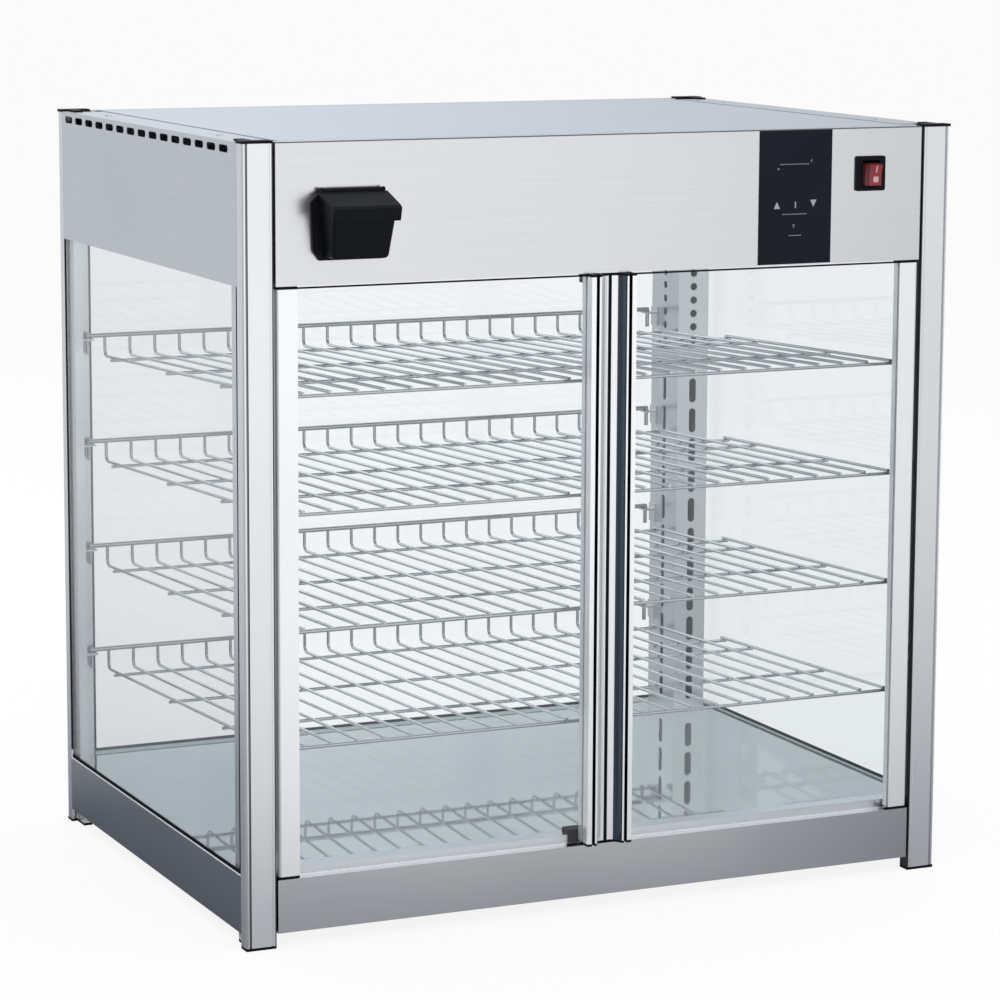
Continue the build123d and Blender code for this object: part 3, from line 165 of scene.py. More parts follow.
class CaseSizes(bpy.types.PropertyGroup):
    """Sizes of the print, the painted shade in grooves and seams, the painted light,
    highlight and reflection, the brushing and the studio floor.
    """
    print_height: size_setting(
        "Print height", 0.00008, "How far printed marks stand off their surface")
    print_line: size_setting(
        "Print line", 0.0007, "Width of the thin printed lines")
    key_mark: size_setting(
        "Key mark", 0.0064, "Width of the triangles on the two touch keys")
    rocker_mark: size_setting(
        "Rocker mark", 0.0028, "Width of the pale marks on the rocker")
    groove_inset: size_setting(
        "Groove inset", 0.0027, "From a post's outer side to its groove")
    # Sizes the strip of painted shade in a post's groove.
    groove_width: size_setting(
        "Groove width", 0.0022, "Width of the dark groove in a post")
    pull_rib: size_setting(
        "Pull rib", 0.0045, "Width of the meeting stile's outer rib")
    # Sizes the painted shade in the slot beside the rib.
    pull_slot: size_setting(
        "Pull slot", 0.003, "Width of the dark slot beside the rib")
    pull_ridge: size_setting(
        "Pull ridge", 0.0018, "Width of the bright ridge between pull and slot")
    # Sizes the painted reflection, a dark band in the right finger pull.
    painted_pull_reflection: size_setting(
        "Pull shade", 0.0055, "Width of the dark band in the right finger pull")
    slot_margin: size_setting(
        "Slot margin", 0.0001, "How far the slot's shade takes in its walls")
    slot_depth: size_setting(
        "Slot depth", 0.009, "Depth of the dark slot from the rib's face")
    # Sizes the strips of painted shade along the seams and gaps.
    seam: size_setting(
        "Seam", 0.0011, "Width of the dark seams along the sheets' edges")
    # Sizes the painted light on the rear seal at the pane's foot.
    seal_reach: size_setting(
        "Seal reach", 0.012, "How far the rear seal reaches round the pane's foot")
    # Sizes the painted light on a skirt's lip where the panes touch it.
    skirt_lip: size_setting(
        "Skirt lip", 0.005, "Height of a skirt's bare inner face over the floor")
    skin: size_setting(
        "Skin", 0.0005, "Depth that parts a sheet's outer face from its inner one")
    # Sizes the painted highlight along the side skirts' top edge.
    painted_edge_highlight: size_setting(
        "Bright edge", 0.0012, "Height of the bright edge along the side skirts")
    # Sizes the painted shade in the joint down both sides of the top.
    top_seam: size_setting(
        "Top seam", 0.004, "Width of the dark joint down both sides of the top")
    grain_length: size_setting(
        "Grain length", 0.12, "Length of the brushing streaks in the steel")
    grain_width: size_setting(
        "Grain width", 0.0006, "Width of the brushing streaks in the steel")
    floor_radius: size_setting(
        "Floor radius", 40.0, "Radius of the studio floor")


class CaseColours(bpy.types.PropertyGroup):
    """Colours of the finishes, and of the painted shade, light and reflection."""
    fascia: colour_setting(
        "Front steel", (0.77, 0.78, 0.80), "Brushed steel of the fascia and front skirt")
    side: colour_setting(
        "Side steel", (0.78, 0.81, 0.84), "Brushed steel of the side panels and side skirts")
    top: colour_setting(
        "Top", (0.80, 0.84, 0.90), "Brushed steel of the top cover")
    post: colour_setting(
        "Posts", (0.84, 0.86, 0.88), "Satin aluminium of the corner posts")
    stile: colour_setting(
        "Door stiles", (0.92, 0.94, 0.96), "Pale aluminium of the door stiles")
    chamber: colour_setting(
        "Chamber steel", (0.80, 0.84, 0.86), "Steel of the ceiling, duct and brackets")
    plate: colour_setting(
        "Floor plate", (0.65, 0.695, 0.695), "Polished steel of the chamber's floor")
    wire: colour_setting(
        "Wire", (0.60, 0.62, 0.64), "Bright plated wire of the shelves")
    glass: colour_setting(
        "Glass", (0.95, 0.97, 0.978), "Tint of the glass")
    plastic: colour_setting(
        "Black plastic", (0.004, 0.005, 0.008), "Plastic of caps, hopper and bezel")
    panel: colour_setting(
        "Control panel", (0.007, 0.009, 0.016), "Film over the control panel")
    marks: colour_setting(
        "Printed marks", (0.30, 0.33, 0.37), "Grey print on the control panel")
    rocker: colour_setting(
        "Rocker", (0.17, 0.020, 0.025), "Red plastic of the power rocker")
    rocker_glow: colour_setting(
        "Rocker glow", (0.8, 0.05, 0.03), "Light of the lamp in the power rocker")
    rocker_marks: colour_setting(
        "Rocker marks", (0.50, 0.34, 0.36), "Pale marks on the power rocker")
    # Painted reflection: the dark band that the right finger pull mirrors from its neighbour.
    pull: colour_setting(
        "Pull shade", (0.045, 0.065, 0.085),
        "Dark blue-grey in the hollow of the right finger pull")
    # Painted light: a pale tone at the panes' feet, on the rear seal and on the skirts' lips.
    painted_pane_foot_light: colour_setting(
        "Rear seal", (0.52, 0.56, 0.57), "Pale seal along the rear pane's foot")
    # Painted shade in the grooves, slots, seams, gaps and rear legs of the metal.
    shadow: colour_setting(
        "Grooves", (0.012, 0.014, 0.018), "Depth of the grooves and seams in the metal")
    board: colour_setting(
        "Control board", (0.02, 0.12, 0.05), "Lacquer of the control board")
    motor: colour_setting(
        "Motor", (0.22, 0.23, 0.24), "Metal of the fan and its motor")
    heater: colour_setting(
        "Heater", (0.13, 0.12, 0.11), "Sheath of the heating element")
    floor: colour_setting(
        "Floor", (0.92, 0.92, 0.92), "Plain pale studio floor")


def feed(tree, value, socket):
    """Links a socket to a value that is a socket itself, or sets it to a plain one."""
    if isinstance(value, bpy.types.NodeSocket):
        tree.links.new(value, socket)
    else:
        socket.default_value = value


def number(tree, operation, *values):
    """What a Math node works out of sockets and plain numbers."""
    node = tree.nodes.new("ShaderNodeMath")
    node.operation = operation
    for value, socket in zip(values, node.inputs):
        feed(tree, value, socket)
    return node.outputs[0]


def vector(tree, operation, *values):
    """What a Vector Math node works out of sockets and plain vectors."""
    node = tree.nodes.new("ShaderNodeVectorMath")
    node.operation = operation
    for value, socket in zip(values, node.inputs):
        feed(tree, value, socket)
    return node.outputs["Value" if operation == "LENGTH" else "Vector"]


def scaled(tree, colour, factor):
    """A colour times a number."""
    node = tree.nodes.new("ShaderNodeVectorMath")
    node.operation = "SCALE"
    feed(tree, colour, node.inputs[0])
    feed(tree, factor, node.inputs["Scale"])
    return node.outputs[0]


def blended(tree, factor, first, second):
    """A mix of two colours; each is a socket or a plain colour."""
    mix = tree.nodes.new("ShaderNodeMix")
    mix.data_type = "RGBA"
    feed(tree, factor, mix.inputs["Factor"])
    for colour, place in zip((first, second), MIX_COLOURS):
        is_socket = isinstance(colour, bpy.types.NodeSocket)
        feed(tree, colour if is_socket else (*colour, 1), mix.inputs[place])
    return mix.outputs[MIX_RESULT]


def smooth_step(tree, value, start, end):
    """A number that goes smoothly from 0 at start to 1 at end."""
    node = tree.nodes.new("ShaderNodeMapRange")
    node.interpolation_type = "SMOOTHSTEP"
    for label, given in (("From Min", start), ("From Max", end), ("Value", value)):
        feed(tree, given, node.inputs[label])
    return node.outputs["Result"]


def noise(tree, place, scale, detail=2.0):
    """Noise from 0 to 1 over a place."""
    node = tree.nodes.new("ShaderNodeTexNoise")
    for label, given in (("Vector", place), ("Scale", scale), ("Detail", detail)):
        feed(tree, given, node.inputs[label])
    return node.outputs["Fac"]


def object_place(tree):
    """Object coordinates, which are the case's own frame."""
    return tree.nodes.new("ShaderNodeTexCoord").outputs["Object"]


def axes(tree, place):
    """The three parts of a vector."""
    node = tree.nodes.new("ShaderNodeSeparateXYZ")
    feed(tree, place, node.inputs[0])
    return [node.outputs[axis] for axis in "XYZ"]


def wire_brushed_grain(tree, given):
    """
    Long streaks of tone: noise on Object coordinates divided by a streak's size, with
    broad patches that change tone and roughness.
    """
    place = object_place(tree)
    streaks = vector(tree, "MULTIPLY", place, given["Streaks"])
    fine = noise(tree, streaks, scale=1.0, detail=3.0)
    broad = noise(tree, place, STEEL_PATCHES)
    tone = 1.0
    for layer, amount in ((fine, "Contrast"), (broad, "Patches")):
        centred = number(tree, "SUBTRACT", layer, 0.5)
        tone = number(tree, "MULTIPLY_ADD", centred, given[amount], tone)
    return {
        "Colour": scaled(tree, given["Colour"], tone),
        "Roughness": number(tree, "MULTIPLY_ADD", broad, given["Smears"], given["Roughness"]),
        "Height": fine,
    }


def wire_moulded_grain(tree, given):
    """Moulded plastic's fine pebble and its faint broad patches of wear."""
    place = object_place(tree)
    patch = noise(tree, place, PLASTIC_PATCHES)
    tone = number(tree, "MULTIPLY_ADD", patch, WEAR_RANGE, WEAR_DARKEST)
    return {
        "Colour": scaled(tree, given["Colour"], tone),
        "Roughness": number(tree, "MULTIPLY_ADD", patch, WEAR_DULLNESS, given["Roughness"]),
        "Height": noise(tree, place, given["Scale"]),
    }


def wire_box_mask(tree, given):
    """
    1 inside a box of Object coordinates and 0 outside it, mirrored left to right:
    the least of the six distances to the box's faces is compared with 0.
    """
    across, back, up = axes(tree, object_place(tree))
    mirrored = tree.nodes.new("ShaderNodeCombineXYZ")
    for value, axis in ((number(tree, "ABSOLUTE", across), "X"), (back, "Y"), (up, "Z")):
        feed(tree, value, mirrored.inputs[axis])
    above = vector(tree, "SUBTRACT", mirrored.outputs[0], given["Low"])
    below = vector(tree, "SUBTRACT", given["High"], mirrored.outputs[0])
    least_x, least_y, least_z = axes(tree, vector(tree, "MINIMUM", above, below))
    least = number(tree, "MINIMUM", number(tree, "MINIMUM", least_x, least_y), least_z)
    return {"Mask": number(tree, "GREATER_THAN", least, 0.0)}


def wire_studio_tones(tree, given):
    """
    What the metal mirrors round the case: pale softboxes with dark gaps between them.
    The angle round the upright axis runs through a ramp: 0 is the rear, 0.25 the left side,
    0.5 the front, 0.75 the right side and 1 the rear again.
    """
    across, back, _ = axes(tree, given["Place"])
    angle = number(tree, "ARCTAN2", across, number(tree, "MULTIPLY", back, -1.0))
    ramp = tree.nodes.new("ShaderNodeValToRGB")
    stops = ramp.color_ramp.elements
    for stop, (position, colour) in zip(stops, (STUDIO_TONES[0], STUDIO_TONES[-1])):
        stop.position, stop.color = position, (*colour, 1)
    for position, colour in STUDIO_TONES[1:-1]:
        stops.new(position).color = (*colour, 1)
    feed(tree, number(tree, "MULTIPLY_ADD", angle, 0.5 / math.pi, 0.5), ramp.inputs["Fac"])
    return {"Colour": ramp.outputs["Color"]}


# The shared effects: what wires each, its inputs with their defaults, and its outputs.
SURFACE = (("Colour", "NodeSocketColor"), ("Roughness", "NodeSocketFloat"),
           ("Height", "NodeSocketFloat"))
EFFECTS = {
    "Brushed grain": (
        wire_brushed_grain,
        (("Colour", "NodeSocketColor", (0.6, 0.6, 0.6, 1)),
         ("Streaks", "NodeSocketVector", (8.0, 8.0, 1600.0)),
         ("Contrast", "NodeSocketFloat", 0.06),
         ("Patches", "NodeSocketFloat", 0.1),
         ("Roughness", "NodeSocketFloat", 0.3),
         ("Smears", "NodeSocketFloat", 0.08)),
        SURFACE),
    "Moulded grain": (
        wire_moulded_grain,
        (("Colour", "NodeSocketColor", (0.02, 0.02, 0.02, 1)),
         ("Scale", "NodeSocketFloat", 1500.0),
         ("Roughness", "NodeSocketFloat", 0.4)),
        SURFACE),
    "Box mask": (
        wire_box_mask,
        (("Low", "NodeSocketVector", (0.0, -FAR, -FAR)),
         ("High", "NodeSocketVector", (FAR, FAR, FAR))),
        (("Mask", "NodeSocketFloat"),)),
    "Studio tones": (
        wire_studio_tones,
        (("Place", "NodeSocketVector", (0.0, 0.0, 0.0)),),
        (("Colour", "NodeSocketColor"),)),
}


def effect_group(name):
    """The node group of a shared effect, which is built at its first use."""
    if name in bpy.data.node_groups:
        return bpy.data.node_groups[name]
    wire, inputs, outputs = EFFECTS[name]
    group = bpy.data.node_groups.new(name, "ShaderNodeTree")
    for label, kind, value in inputs:
        socket = group.interface.new_socket(label, in_out="INPUT", socket_type=kind)
        socket.default_value = value
    for label, kind in outputs:
        group.interface.new_socket(label, in_out="OUTPUT", socket_type=kind)
    given = group.nodes.new("NodeGroupInput").outputs
    made = group.nodes.new("NodeGroupOutput").inputs
    for label, value in wire(group, given).items():
        feed(group, value, made[label])
    return group


def put_effect(tree, name, **values):
    """Sets a shared effect in a tree with its own values, and returns its outputs."""
    node = tree.nodes.new("ShaderNodeGroup")
    node.node_tree = effect_group(name)
    for label, value in values.items():
        feed(tree, value, node.inputs[label])
    return node.outputs


def region(x=(0.0, FAR), y=(-FAR, FAR), z=(-FAR, FAR)):
    """
    The box mask's two corners. A side that isn't given has no limit, and x counts from
    the middle of the case to the left as to the right.
    """
    return {"Low": (x[0], y[0], z[0]), "High": (x[1], y[1], z[1])}


def shade_inside(material, inside, colour, share=1.0, metallic=None):
    """
    Turns a material's colour inside a region towards another, and its Metallic too
    where one is given.
    """
    tree = material.node_tree
    shader = tree.nodes["Principled BSDF"]
    part = number(tree, "MULTIPLY", put_effect(tree, "Box mask", **inside)["Mask"], share)
    before = shader.inputs["Base Color"].links[0].from_socket
    feed(tree, blended(tree, part, before, colour), shader.inputs["Base Color"])
    if metallic is not None:
        metal = tree.nodes.new("ShaderNodeMapRange")
        feed(tree, shader.inputs["Metallic"].default_value, metal.inputs["To Min"])
        feed(tree, metallic, metal.inputs["To Max"])
        feed(tree, part, metal.inputs["Value"])
        feed(tree, metal.outputs["Result"], shader.inputs["Metallic"])


def light_back_inside(material, inside, colour):
    """
    Paints light on the back of a sheet's faces inside a region: they glow with a plain tone,
    since a pane that touches the sheet would show them as black.
    """
    tree = material.node_tree
    shader = tree.nodes["Principled BSDF"]
    back = tree.nodes.new("ShaderNodeNewGeometry").outputs["Backfacing"]
    both = number(tree, "MULTIPLY", put_effect(tree, "Box mask", **inside)["Mask"], back)
    feed(tree, blended(tree, both, BLACK, colour), shader.inputs["Emission Color"])
    feed(tree, 1.0, shader.inputs["Emission Strength"])


def new_material(name):
    """A new material: itself, its node tree and its Principled shader."""
    material = bpy.data.materials.new(name)
    material.use_nodes = True
    tree = material.node_tree
    return material, tree, tree.nodes["Principled BSDF"]


def feed_surface(tree, shader, surface, bump, depth):
    """Feeds an effect's colour, roughness and height into a Principled shader."""
    relief = tree.nodes.new("ShaderNodeBump")
    feed(tree, bump, relief.inputs["Strength"])
    feed(tree, depth, relief.inputs["Distance"])
    feed(tree, surface["Height"], relief.inputs["Height"])
    feed(tree, surface["Colour"], shader.inputs["Base Color"])
    feed(tree, surface["Roughness"], shader.inputs["Roughness"])
    feed(tree, relief.outputs["Normal"], shader.inputs["Normal"])


def mix_surfaces(tree, factor, first, second):
    """Makes a material's surface a mix of two shaders."""
    mix = tree.nodes.new("ShaderNodeMixShader")
    for value, socket in zip((factor, first.outputs[0], second.outputs[0]), mix.inputs):
        feed(tree, value, socket)
    feed(tree, mix.outputs[0], tree.nodes["Material Output"].inputs["Surface"])


def brushed_metal(name, colour, along, roughness=0.3, contrast=0.08, bump=0.15,
                  metallic=1.0, smears=0.08):
    """Brushed or drawn metal whose streaks run along one axis, duller in its smears."""
    sizes = bpy.context.scene.case_sizes
    material, tree, shader = new_material(name)
    feed(tree, metallic, shader.inputs["Metallic"])
    streaks = [1.0 / sizes.grain_width] * 3
    streaks["XYZ".index(along)] = 1.0 / sizes.grain_length
    grain = put_effect(tree, "Brushed grain", Colour=(*colour, 1), Streaks=streaks,
                       Contrast=contrast, Roughness=roughness, Smears=smears)
    feed_surface(tree, shader, grain, bump, BRUSHED_DEPTH)
    return material


def moulded_plastic(name, colour, roughness=0.4, scale=1500.0, bump=0.2, shine=0.1):
    """Moulded plastic or rubber with a fine pebble."""
    material, tree, shader = new_material(name)
    feed(tree, shine, shader.inputs["Specular IOR Level"])
    grain = put_effect(tree, "Moulded grain", Colour=(*colour, 1), Scale=scale,
                       Roughness=roughness)
    feed_surface(tree, shader, grain, bump, PEBBLE_DEPTH)
    return material


def clear_glass(name, colour):
    """Clear glass that lets lamplight through to what stands behind it."""
    material, tree, shader = new_material(name)
    for label, value in (("Base Color", (*colour, 1)), ("Roughness", 0.0), ("IOR", 1.45),
                         ("Transmission Weight", 1.0)):
        feed(tree, value, shader.inputs[label])
    open_way = tree.nodes.new("ShaderNodeBsdfTransparent")
    feed(tree, (*colour, 1), open_way.inputs["Color"])
    path = tree.nodes.new("ShaderNodeLightPath")
    mix_surfaces(tree, path.outputs["Is Shadow Ray"], shader, open_way)
    return material


def dress(names, material):
    """Gives CAD nodes one finish."""
    for name in names:
        data = NODES[name].data
        data.materials.clear()
        data.materials.append(material)


def put_piece(name, vertices, faces, material, body):
    """Makes a mesh object, finishes it and lets it ride on a body."""
    mesh = bpy.data.meshes.new(name)
    mesh.from_pydata(vertices, [], faces)
    mesh.validate()
    mesh.materials.append(material)
    piece = bpy.data.objects.new(name, mesh)
    bpy.context.scene.collection.objects.link(piece)
    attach(piece, body)
    return piece


def flat_prism(outline, face_y, height):
    """A closed prism: an outline in X and Z, carried along -Y from face_y by height."""
    outline = np.asarray(outline, float)
    count = len(outline)
    back = np.column_stack([outline[:, 0], np.full(count, face_y), outline[:, 1]])
    front = back - np.array([0, height, 0])
    ring = np.arange(count)
    after = (ring + 1) % count
    sides = np.column_stack([ring, after, after + count, ring + count])
    faces = [tuple(ring[::-1]), tuple(ring + count)] + [tuple(side) for side in sides]
    return np.vstack([back, front]), faces


def joined(parts):
    """Several vertex and face lists as one."""
    vertices, faces, start = [], [], 0
    for points, polygons in parts:
        vertices.append(points)
        faces += [tuple(int(i) + start for i in polygon) for polygon in polygons]
        start += len(points)
    return np.vstack(vertices).tolist(), faces


class DISPLAY_OT_dress_posts(bpy.types.Operator):
    """Satin aluminium posts and pale stiles with painted shade in their grooves, slots and
    seams
    """
    bl_idname = "display_case.dress_posts"
    bl_label = "Dress Posts and Stiles"

    # How dark the painted shade in the groove is on each side, darker on the left than on the
    # right as light falls, and how much of a rear leg gets painted shade.
    GROOVE_DARKNESS = (("left", 0.75), ("right", 0.3))
    # How dark the painted shade on a post's inner side by the doors is.
    SEAM_DARKNESS = 0.95
    SHADED_LEG = 0.6

    def execute(self, context):
        sizes = context.scene.case_sizes
        colours = context.scene.case_colours
        self.dress_corner_posts(sizes, colours)
        hinge = brushed_metal("Pale aluminium", colours.stile, "Z", roughness=0.14,
                              contrast=0.02, bump=0.05, metallic=0.6)
        dress(["left_door_hinge_stile", "right_door_hinge_stile"], hinge)
        for side in ("left", "right"):
            self.dress_meeting_stile(side, sizes, colours)
        sill = brushed_metal("Sill aluminium", colours.stile, "X", roughness=0.25,
                             contrast=0.03, bump=0.05)
        dress(["door_sill"], sill)
        return {"FINISHED"}

    def dress_corner_posts(self, sizes, colours):
        """Posts with painted shade in a groove in front, along the seam to the case and on
        the rear legs.
        """
        low, high = node_box("post_front_left")
        groove = -low[0] - sizes.groove_inset
        vent_level = node_box("fascia")[0][2]
        rear_low, rear_high = node_box("post_rear_left")
        leg_end = rear_low[1] + self.SHADED_LEG * (rear_high[1] - rear_low[1])
        for side, darkness in self.GROOVE_DARKNESS:
            post = brushed_metal(f"Satin aluminium {side}", colours.post, "Z", roughness=0.16,
                                 contrast=0.03, bump=0.08, metallic=0.78)
            # Painted shade in the groove along the post's front.
            shade_inside(post, region(x=(groove - sizes.groove_width, groove)),
                         colours.shadow, darkness)
            # Painted shade on the post's inner side, so the gap beside the door looks dark.
            shade_inside(post, region(x=(0, -high[0] + sizes.seam)), colours.shadow,
                         self.SEAM_DARKNESS)
            # Painted shade on the rear legs behind the vents, so the vents look black.
            leg = region(x=(0, -low[0] - sizes.seam), y=(rear_low[1] - sizes.seam, leg_end),
                         z=(vent_level, FAR))
            shade_inside(post, leg, colours.shadow)
            dress([f"post_front_{side}", f"post_rear_{side}"], post)

    def dress_meeting_stile(self, side, sizes, colours):
        """A meeting stile with painted shade in its slot and seam, and the right one's
        painted dark reflection in its pull.
        """
        meeting = brushed_metal(f"Meeting stile aluminium {side}", colours.stile, "Z",
                                roughness=0.1, contrast=0.02, bump=0.03, metallic=0.6)
        low, high = node_box("right_door_handle_stile")
        slot_out = high[0] - sizes.pull_rib + sizes.slot_margin
        slot_in = high[0] - sizes.pull_rib - sizes.pull_slot - sizes.slot_margin
        front = (-FAR, low[1] + sizes.slot_depth)
        # Painted shade in the slot beside the rib.
        shade_inside(meeting, region(x=(slot_in, slot_out), y=front), colours.shadow)
        # Painted shade on the meeting edge, so the gap between the doors looks dark.
        shade_inside(meeting, region(x=(0, low[0] + sizes.seam)), colours.shadow)
        if side == "right":
            # Painted reflection: a dark band in the right door's finger pull only.
            ridge = slot_in - sizes.pull_ridge
            shade_inside(meeting, region(x=(ridge - sizes.painted_pull_reflection, ridge), y=front),
                         colours.pull)
        dress([f"{side}_door_handle_stile"], meeting)


class DISPLAY_OT_dress_sheet_metal(bpy.types.Operator):
    """Brushed steel of the fascia, panels, top and skirts"""
    bl_idname = "display_case.dress_sheet_metal"
    bl_label = "Dress Sheet Metal"

    # How dark the painted shade in the seam over the fascia is, how dark in the other seams,
    # and how strong the painted highlight along the side skirts' top edge.
    UPPER_SEAM_DARKNESS = 0.8
    SEAM_DARKNESS = 0.9
    EDGE_HIGHLIGHT = 0.8

    def execute(self, context):
        sizes = context.scene.case_sizes
        colours = context.scene.case_colours
        self.dress_hood(sizes, colours)
        self.dress_skirts(sizes, colours)
        plain = brushed_metal("Plain steel", colours.chamber, "X", roughness=0.4)
        dress(["upper_frame", "lower_frame", "base_pan", "air_box", "hinge_pins",
               "panel_screws", "left_door_strikers", "right_door_strikers",
               "humidity_tray"], plain)
        return {"FINISHED"}

    def dress_hood(self, sizes, colours):
        """Fascia and top with painted shade in the seams along their edges, and the panels.
        """
        fascia = brushed_metal("Fascia steel", colours.fascia, "X", roughness=0.2,
                               contrast=0.11)
        low, high = node_box("fascia")
        # Painted shade along the fascia's top edge, where the top cover meets it.
        upper = region(y=(-FAR, low[1] + sizes.seam), z=(high[2] - sizes.seam, FAR))
        shade_inside(fascia, upper, colours.shadow, self.UPPER_SEAM_DARKNESS)
        # Painted shade at the fascia's ends beside the posts.
        ends = region(x=(high[0] - sizes.seam / 2, FAR))
        shade_inside(fascia, ends, colours.shadow, self.SEAM_DARKNESS)
        dress(["fascia"], fascia)
        side = brushed_metal("Side panel steel", colours.side, "Y", roughness=0.22,
                             contrast=0.16)
        dress(["side_panel_left", "side_panel_right"], side)
        rear = brushed_metal("Rear panel steel", colours.side, "X", roughness=0.22)
        dress(["rear_panel"], rear)
        top = brushed_metal("Top steel", colours.top, "X", roughness=0.22, contrast=0.14)
        # Painted shade in the joint down both sides of the top.
        top_edge = node_box("top_cover")[1][0]
        shade_inside(top, region(x=(top_edge - sizes.top_seam, FAR)), colours.shadow,
                     self.SEAM_DARKNESS)
        dress(["top_cover"], top)

    def dress_skirts(self, sizes, colours):
        """Skirts with painted light on their inner lips and a glow on their backs where the
        panes touch them, and a painted highlight along the side skirts' top edge.
        """
        front = brushed_metal("Front skirt steel", colours.fascia, "X", roughness=0.2)
        dress(["front_skirt"], front)
        rear = brushed_metal("Rear skirt steel", colours.fascia, "X", metallic=0.4)
        _, high = node_box("rear_skirt")
        # Painted light: the rear skirt's lip is pale and its backs glow where the rear pane's
        # foot meets it.
        lip = (high[2] - sizes.skirt_lip, FAR)
        shade_inside(rear, region(y=(-FAR, high[1] - sizes.skin), z=lip),
                     colours.painted_pane_foot_light, metallic=0.0)
        light_back_inside(rear, region(z=lip), colours.painted_pane_foot_light)
        dress(["rear_skirt"], rear)
        side = brushed_metal("Side skirt steel", colours.side, "Y", roughness=0.2)
        low, high = node_box("side_skirt_left")
        outer = -low[0] - sizes.skin
        lip = (high[2] - sizes.skirt_lip, FAR)
        # Painted light on the side skirts' inner lips, with a glow on their backs below.
        shade_inside(side, region(x=(0, outer), z=lip), colours.painted_pane_foot_light)
        # Painted highlight along the top edge of the side skirts' outer face.
        shade_inside(side, region(x=(outer, FAR), z=(high[2] - sizes.painted_edge_highlight, FAR)),
                     colours.stile, self.EDGE_HIGHLIGHT, metallic=0.0)
        light_back_inside(side, region(z=lip), colours.painted_pane_foot_light)
        dress(["side_skirt_left", "side_skirt_right"], side)


class DISPLAY_OT_dress_chamber(bpy.types.Operator):
    """Glossy steel floor and ceiling, perforated duct and shelf brackets"""
    bl_idname = "display_case.dress_chamber"
    bl_label = "Dress Chamber"

    def execute(self, context):
        colours = context.scene.case_colours
        glossy = brushed_metal("Floor steel", colours.plate, "X", roughness=0.02,
                               contrast=0.03, bump=0.02, metallic=0.7, smears=0.02)
        dress(["floor_plate"], glossy)
        bright = brushed_metal("Duct steel", colours.chamber, "Z", roughness=0.2,
                               contrast=0.05, bump=0.05, metallic=0.62)
        dress(["chamber_ceiling", "air_duct", "shelf_brackets"], bright)
        return {"FINISHED"}


class DISPLAY_OT_dress_glass(bpy.types.Operator):
    """Clear panes with a faint cool tint, and their black seals"""
    bl_idname = "display_case.dress_glass"
    bl_label = "Dress Glass"

    def execute(self, context):
        colours = context.scene.case_colours
        dress(["glass_left", "glass_right", "glass_rear", "left_door_glass",
               "right_door_glass"], clear_glass("Clear glass", colours.glass))
        rubber = moulded_plastic("Seal rubber", colours.plastic, roughness=0.6, scale=900.0)
        # Painted light: the seal is pale at the rear pane's foot instead of black.
        low, _ = node_box("glass_rear")
        reach = context.scene.case_sizes.seal_reach
        foot = region(y=(low[1] - reach, FAR), z=(low[2] - reach, low[2] + reach))
        shade_inside(rubber, foot, colours.painted_pane_foot_light)
        dress(["glass_seals"], rubber)
        return {"FINISHED"}


class DISPLAY_OT_dress_shelves(bpy.types.Operator):
    """Bright plated wire of the four shelves"""
    bl_idname = "display_case.dress_shelves"
    bl_label = "Dress Shelves"

    def execute(self, context):
        colours = context.scene.case_colours
        wire = brushed_metal("Plated wire", colours.wire, "X", roughness=0.05,
                             contrast=0.02, bump=0.02)
        dress([name for name in NODES if name.startswith("shelf_")
               and name != "shelf_brackets"], wire)
        return {"FINISHED"}


class DISPLAY_OT_dress_plastics(bpy.types.Operator):
    """Black moulded caps, feet, catches, hopper, bezel and inlet, and the inner works"""
    bl_idname = "display_case.dress_plastics"
    bl_label = "Dress Plastics and Works"

    def execute(self, context):
        colours = context.scene.case_colours
        black = moulded_plastic("Black plastic", colours.plastic)
        dress(["post_caps", "post_feet", "left_door_caps", "right_door_caps",
               "door_catches", "hopper_body", "hopper_lid", "switch_bezel", "power_inlet"],
              black)
        film = moulded_plastic("Panel film", colours.panel, roughness=0.28, scale=2500.0,
                               bump=0.05)
        dress(["control_panel"], film)
        dress(["control_board"],
              moulded_plastic("Board lacquer", colours.board, roughness=0.3))
        dress(["fan_motor", "fan_wheel"],
              brushed_metal("Motor metal", colours.motor, "Z", roughness=0.4))
        dress(["heating_element"],
              brushed_metal("Heater sheath", colours.heater, "Z", roughness=0.45))
        return {"FINISHED"}


class DISPLAY_OT_dress_rocker(bpy.types.Operator):
    """Lit red rocker with a painted shadow of its bezel on the left, a pale stroke above and
    a pale bar below
    """
    bl_idname = "display_case.dress_rocker"
    bl_label = "Dress Rocker"

    # The left part in the bezel's painted shadow as a share of the rocker's width, how dark
    # that painted shadow is, and how far right of it the marks stand.
    DARK_SHARE = 0.3
    DARKNESS = 0.85
    MARK_SHARE = 0.35
    GLOW = 0.05
    # Each mark's height over the middle as a share of the rocker's, and its width and
    # height in marks.
    MARKS = ((0.25, 0.5, 2.2), (-0.22, 1.8, 1.8))

    def execute(self, context):
        colours = context.scene.case_colours
        half = context.scene.case_sizes.rocker_mark / 2
        red = moulded_plastic("Lit red plastic", colours.rocker, roughness=0.25, bump=0.05,
                              shine=0.5)
        shader = red.node_tree.nodes["Principled BSDF"]
        feed(red.node_tree, (*colours.rocker_glow, 1), shader.inputs["Emission Color"])
        feed(red.node_tree, self.GLOW, shader.inputs["Emission Strength"])
        low, high = node_box("power_rocker")
        width, _, height = high - low
        dark_side = low[0] + self.DARK_SHARE * width
        # Painted shadow of the bezel over the rocker's left part.
        shade_inside(red, region(x=(low[0] - half, dark_side)), colours.plastic,
                     self.DARKNESS)
        mark_x = dark_side + self.MARK_SHARE * width
        for up, wide, tall in self.MARKS:
            mark_z = (low[2] + high[2]) / 2 + up * height
            mark = region(x=(mark_x - wide * half, mark_x + wide * half),
                          z=(mark_z - tall * half, mark_z + tall * half))
            shade_inside(red, mark, colours.rocker_marks)
        dress(["power_rocker"], red)
        return {"FINISHED"}


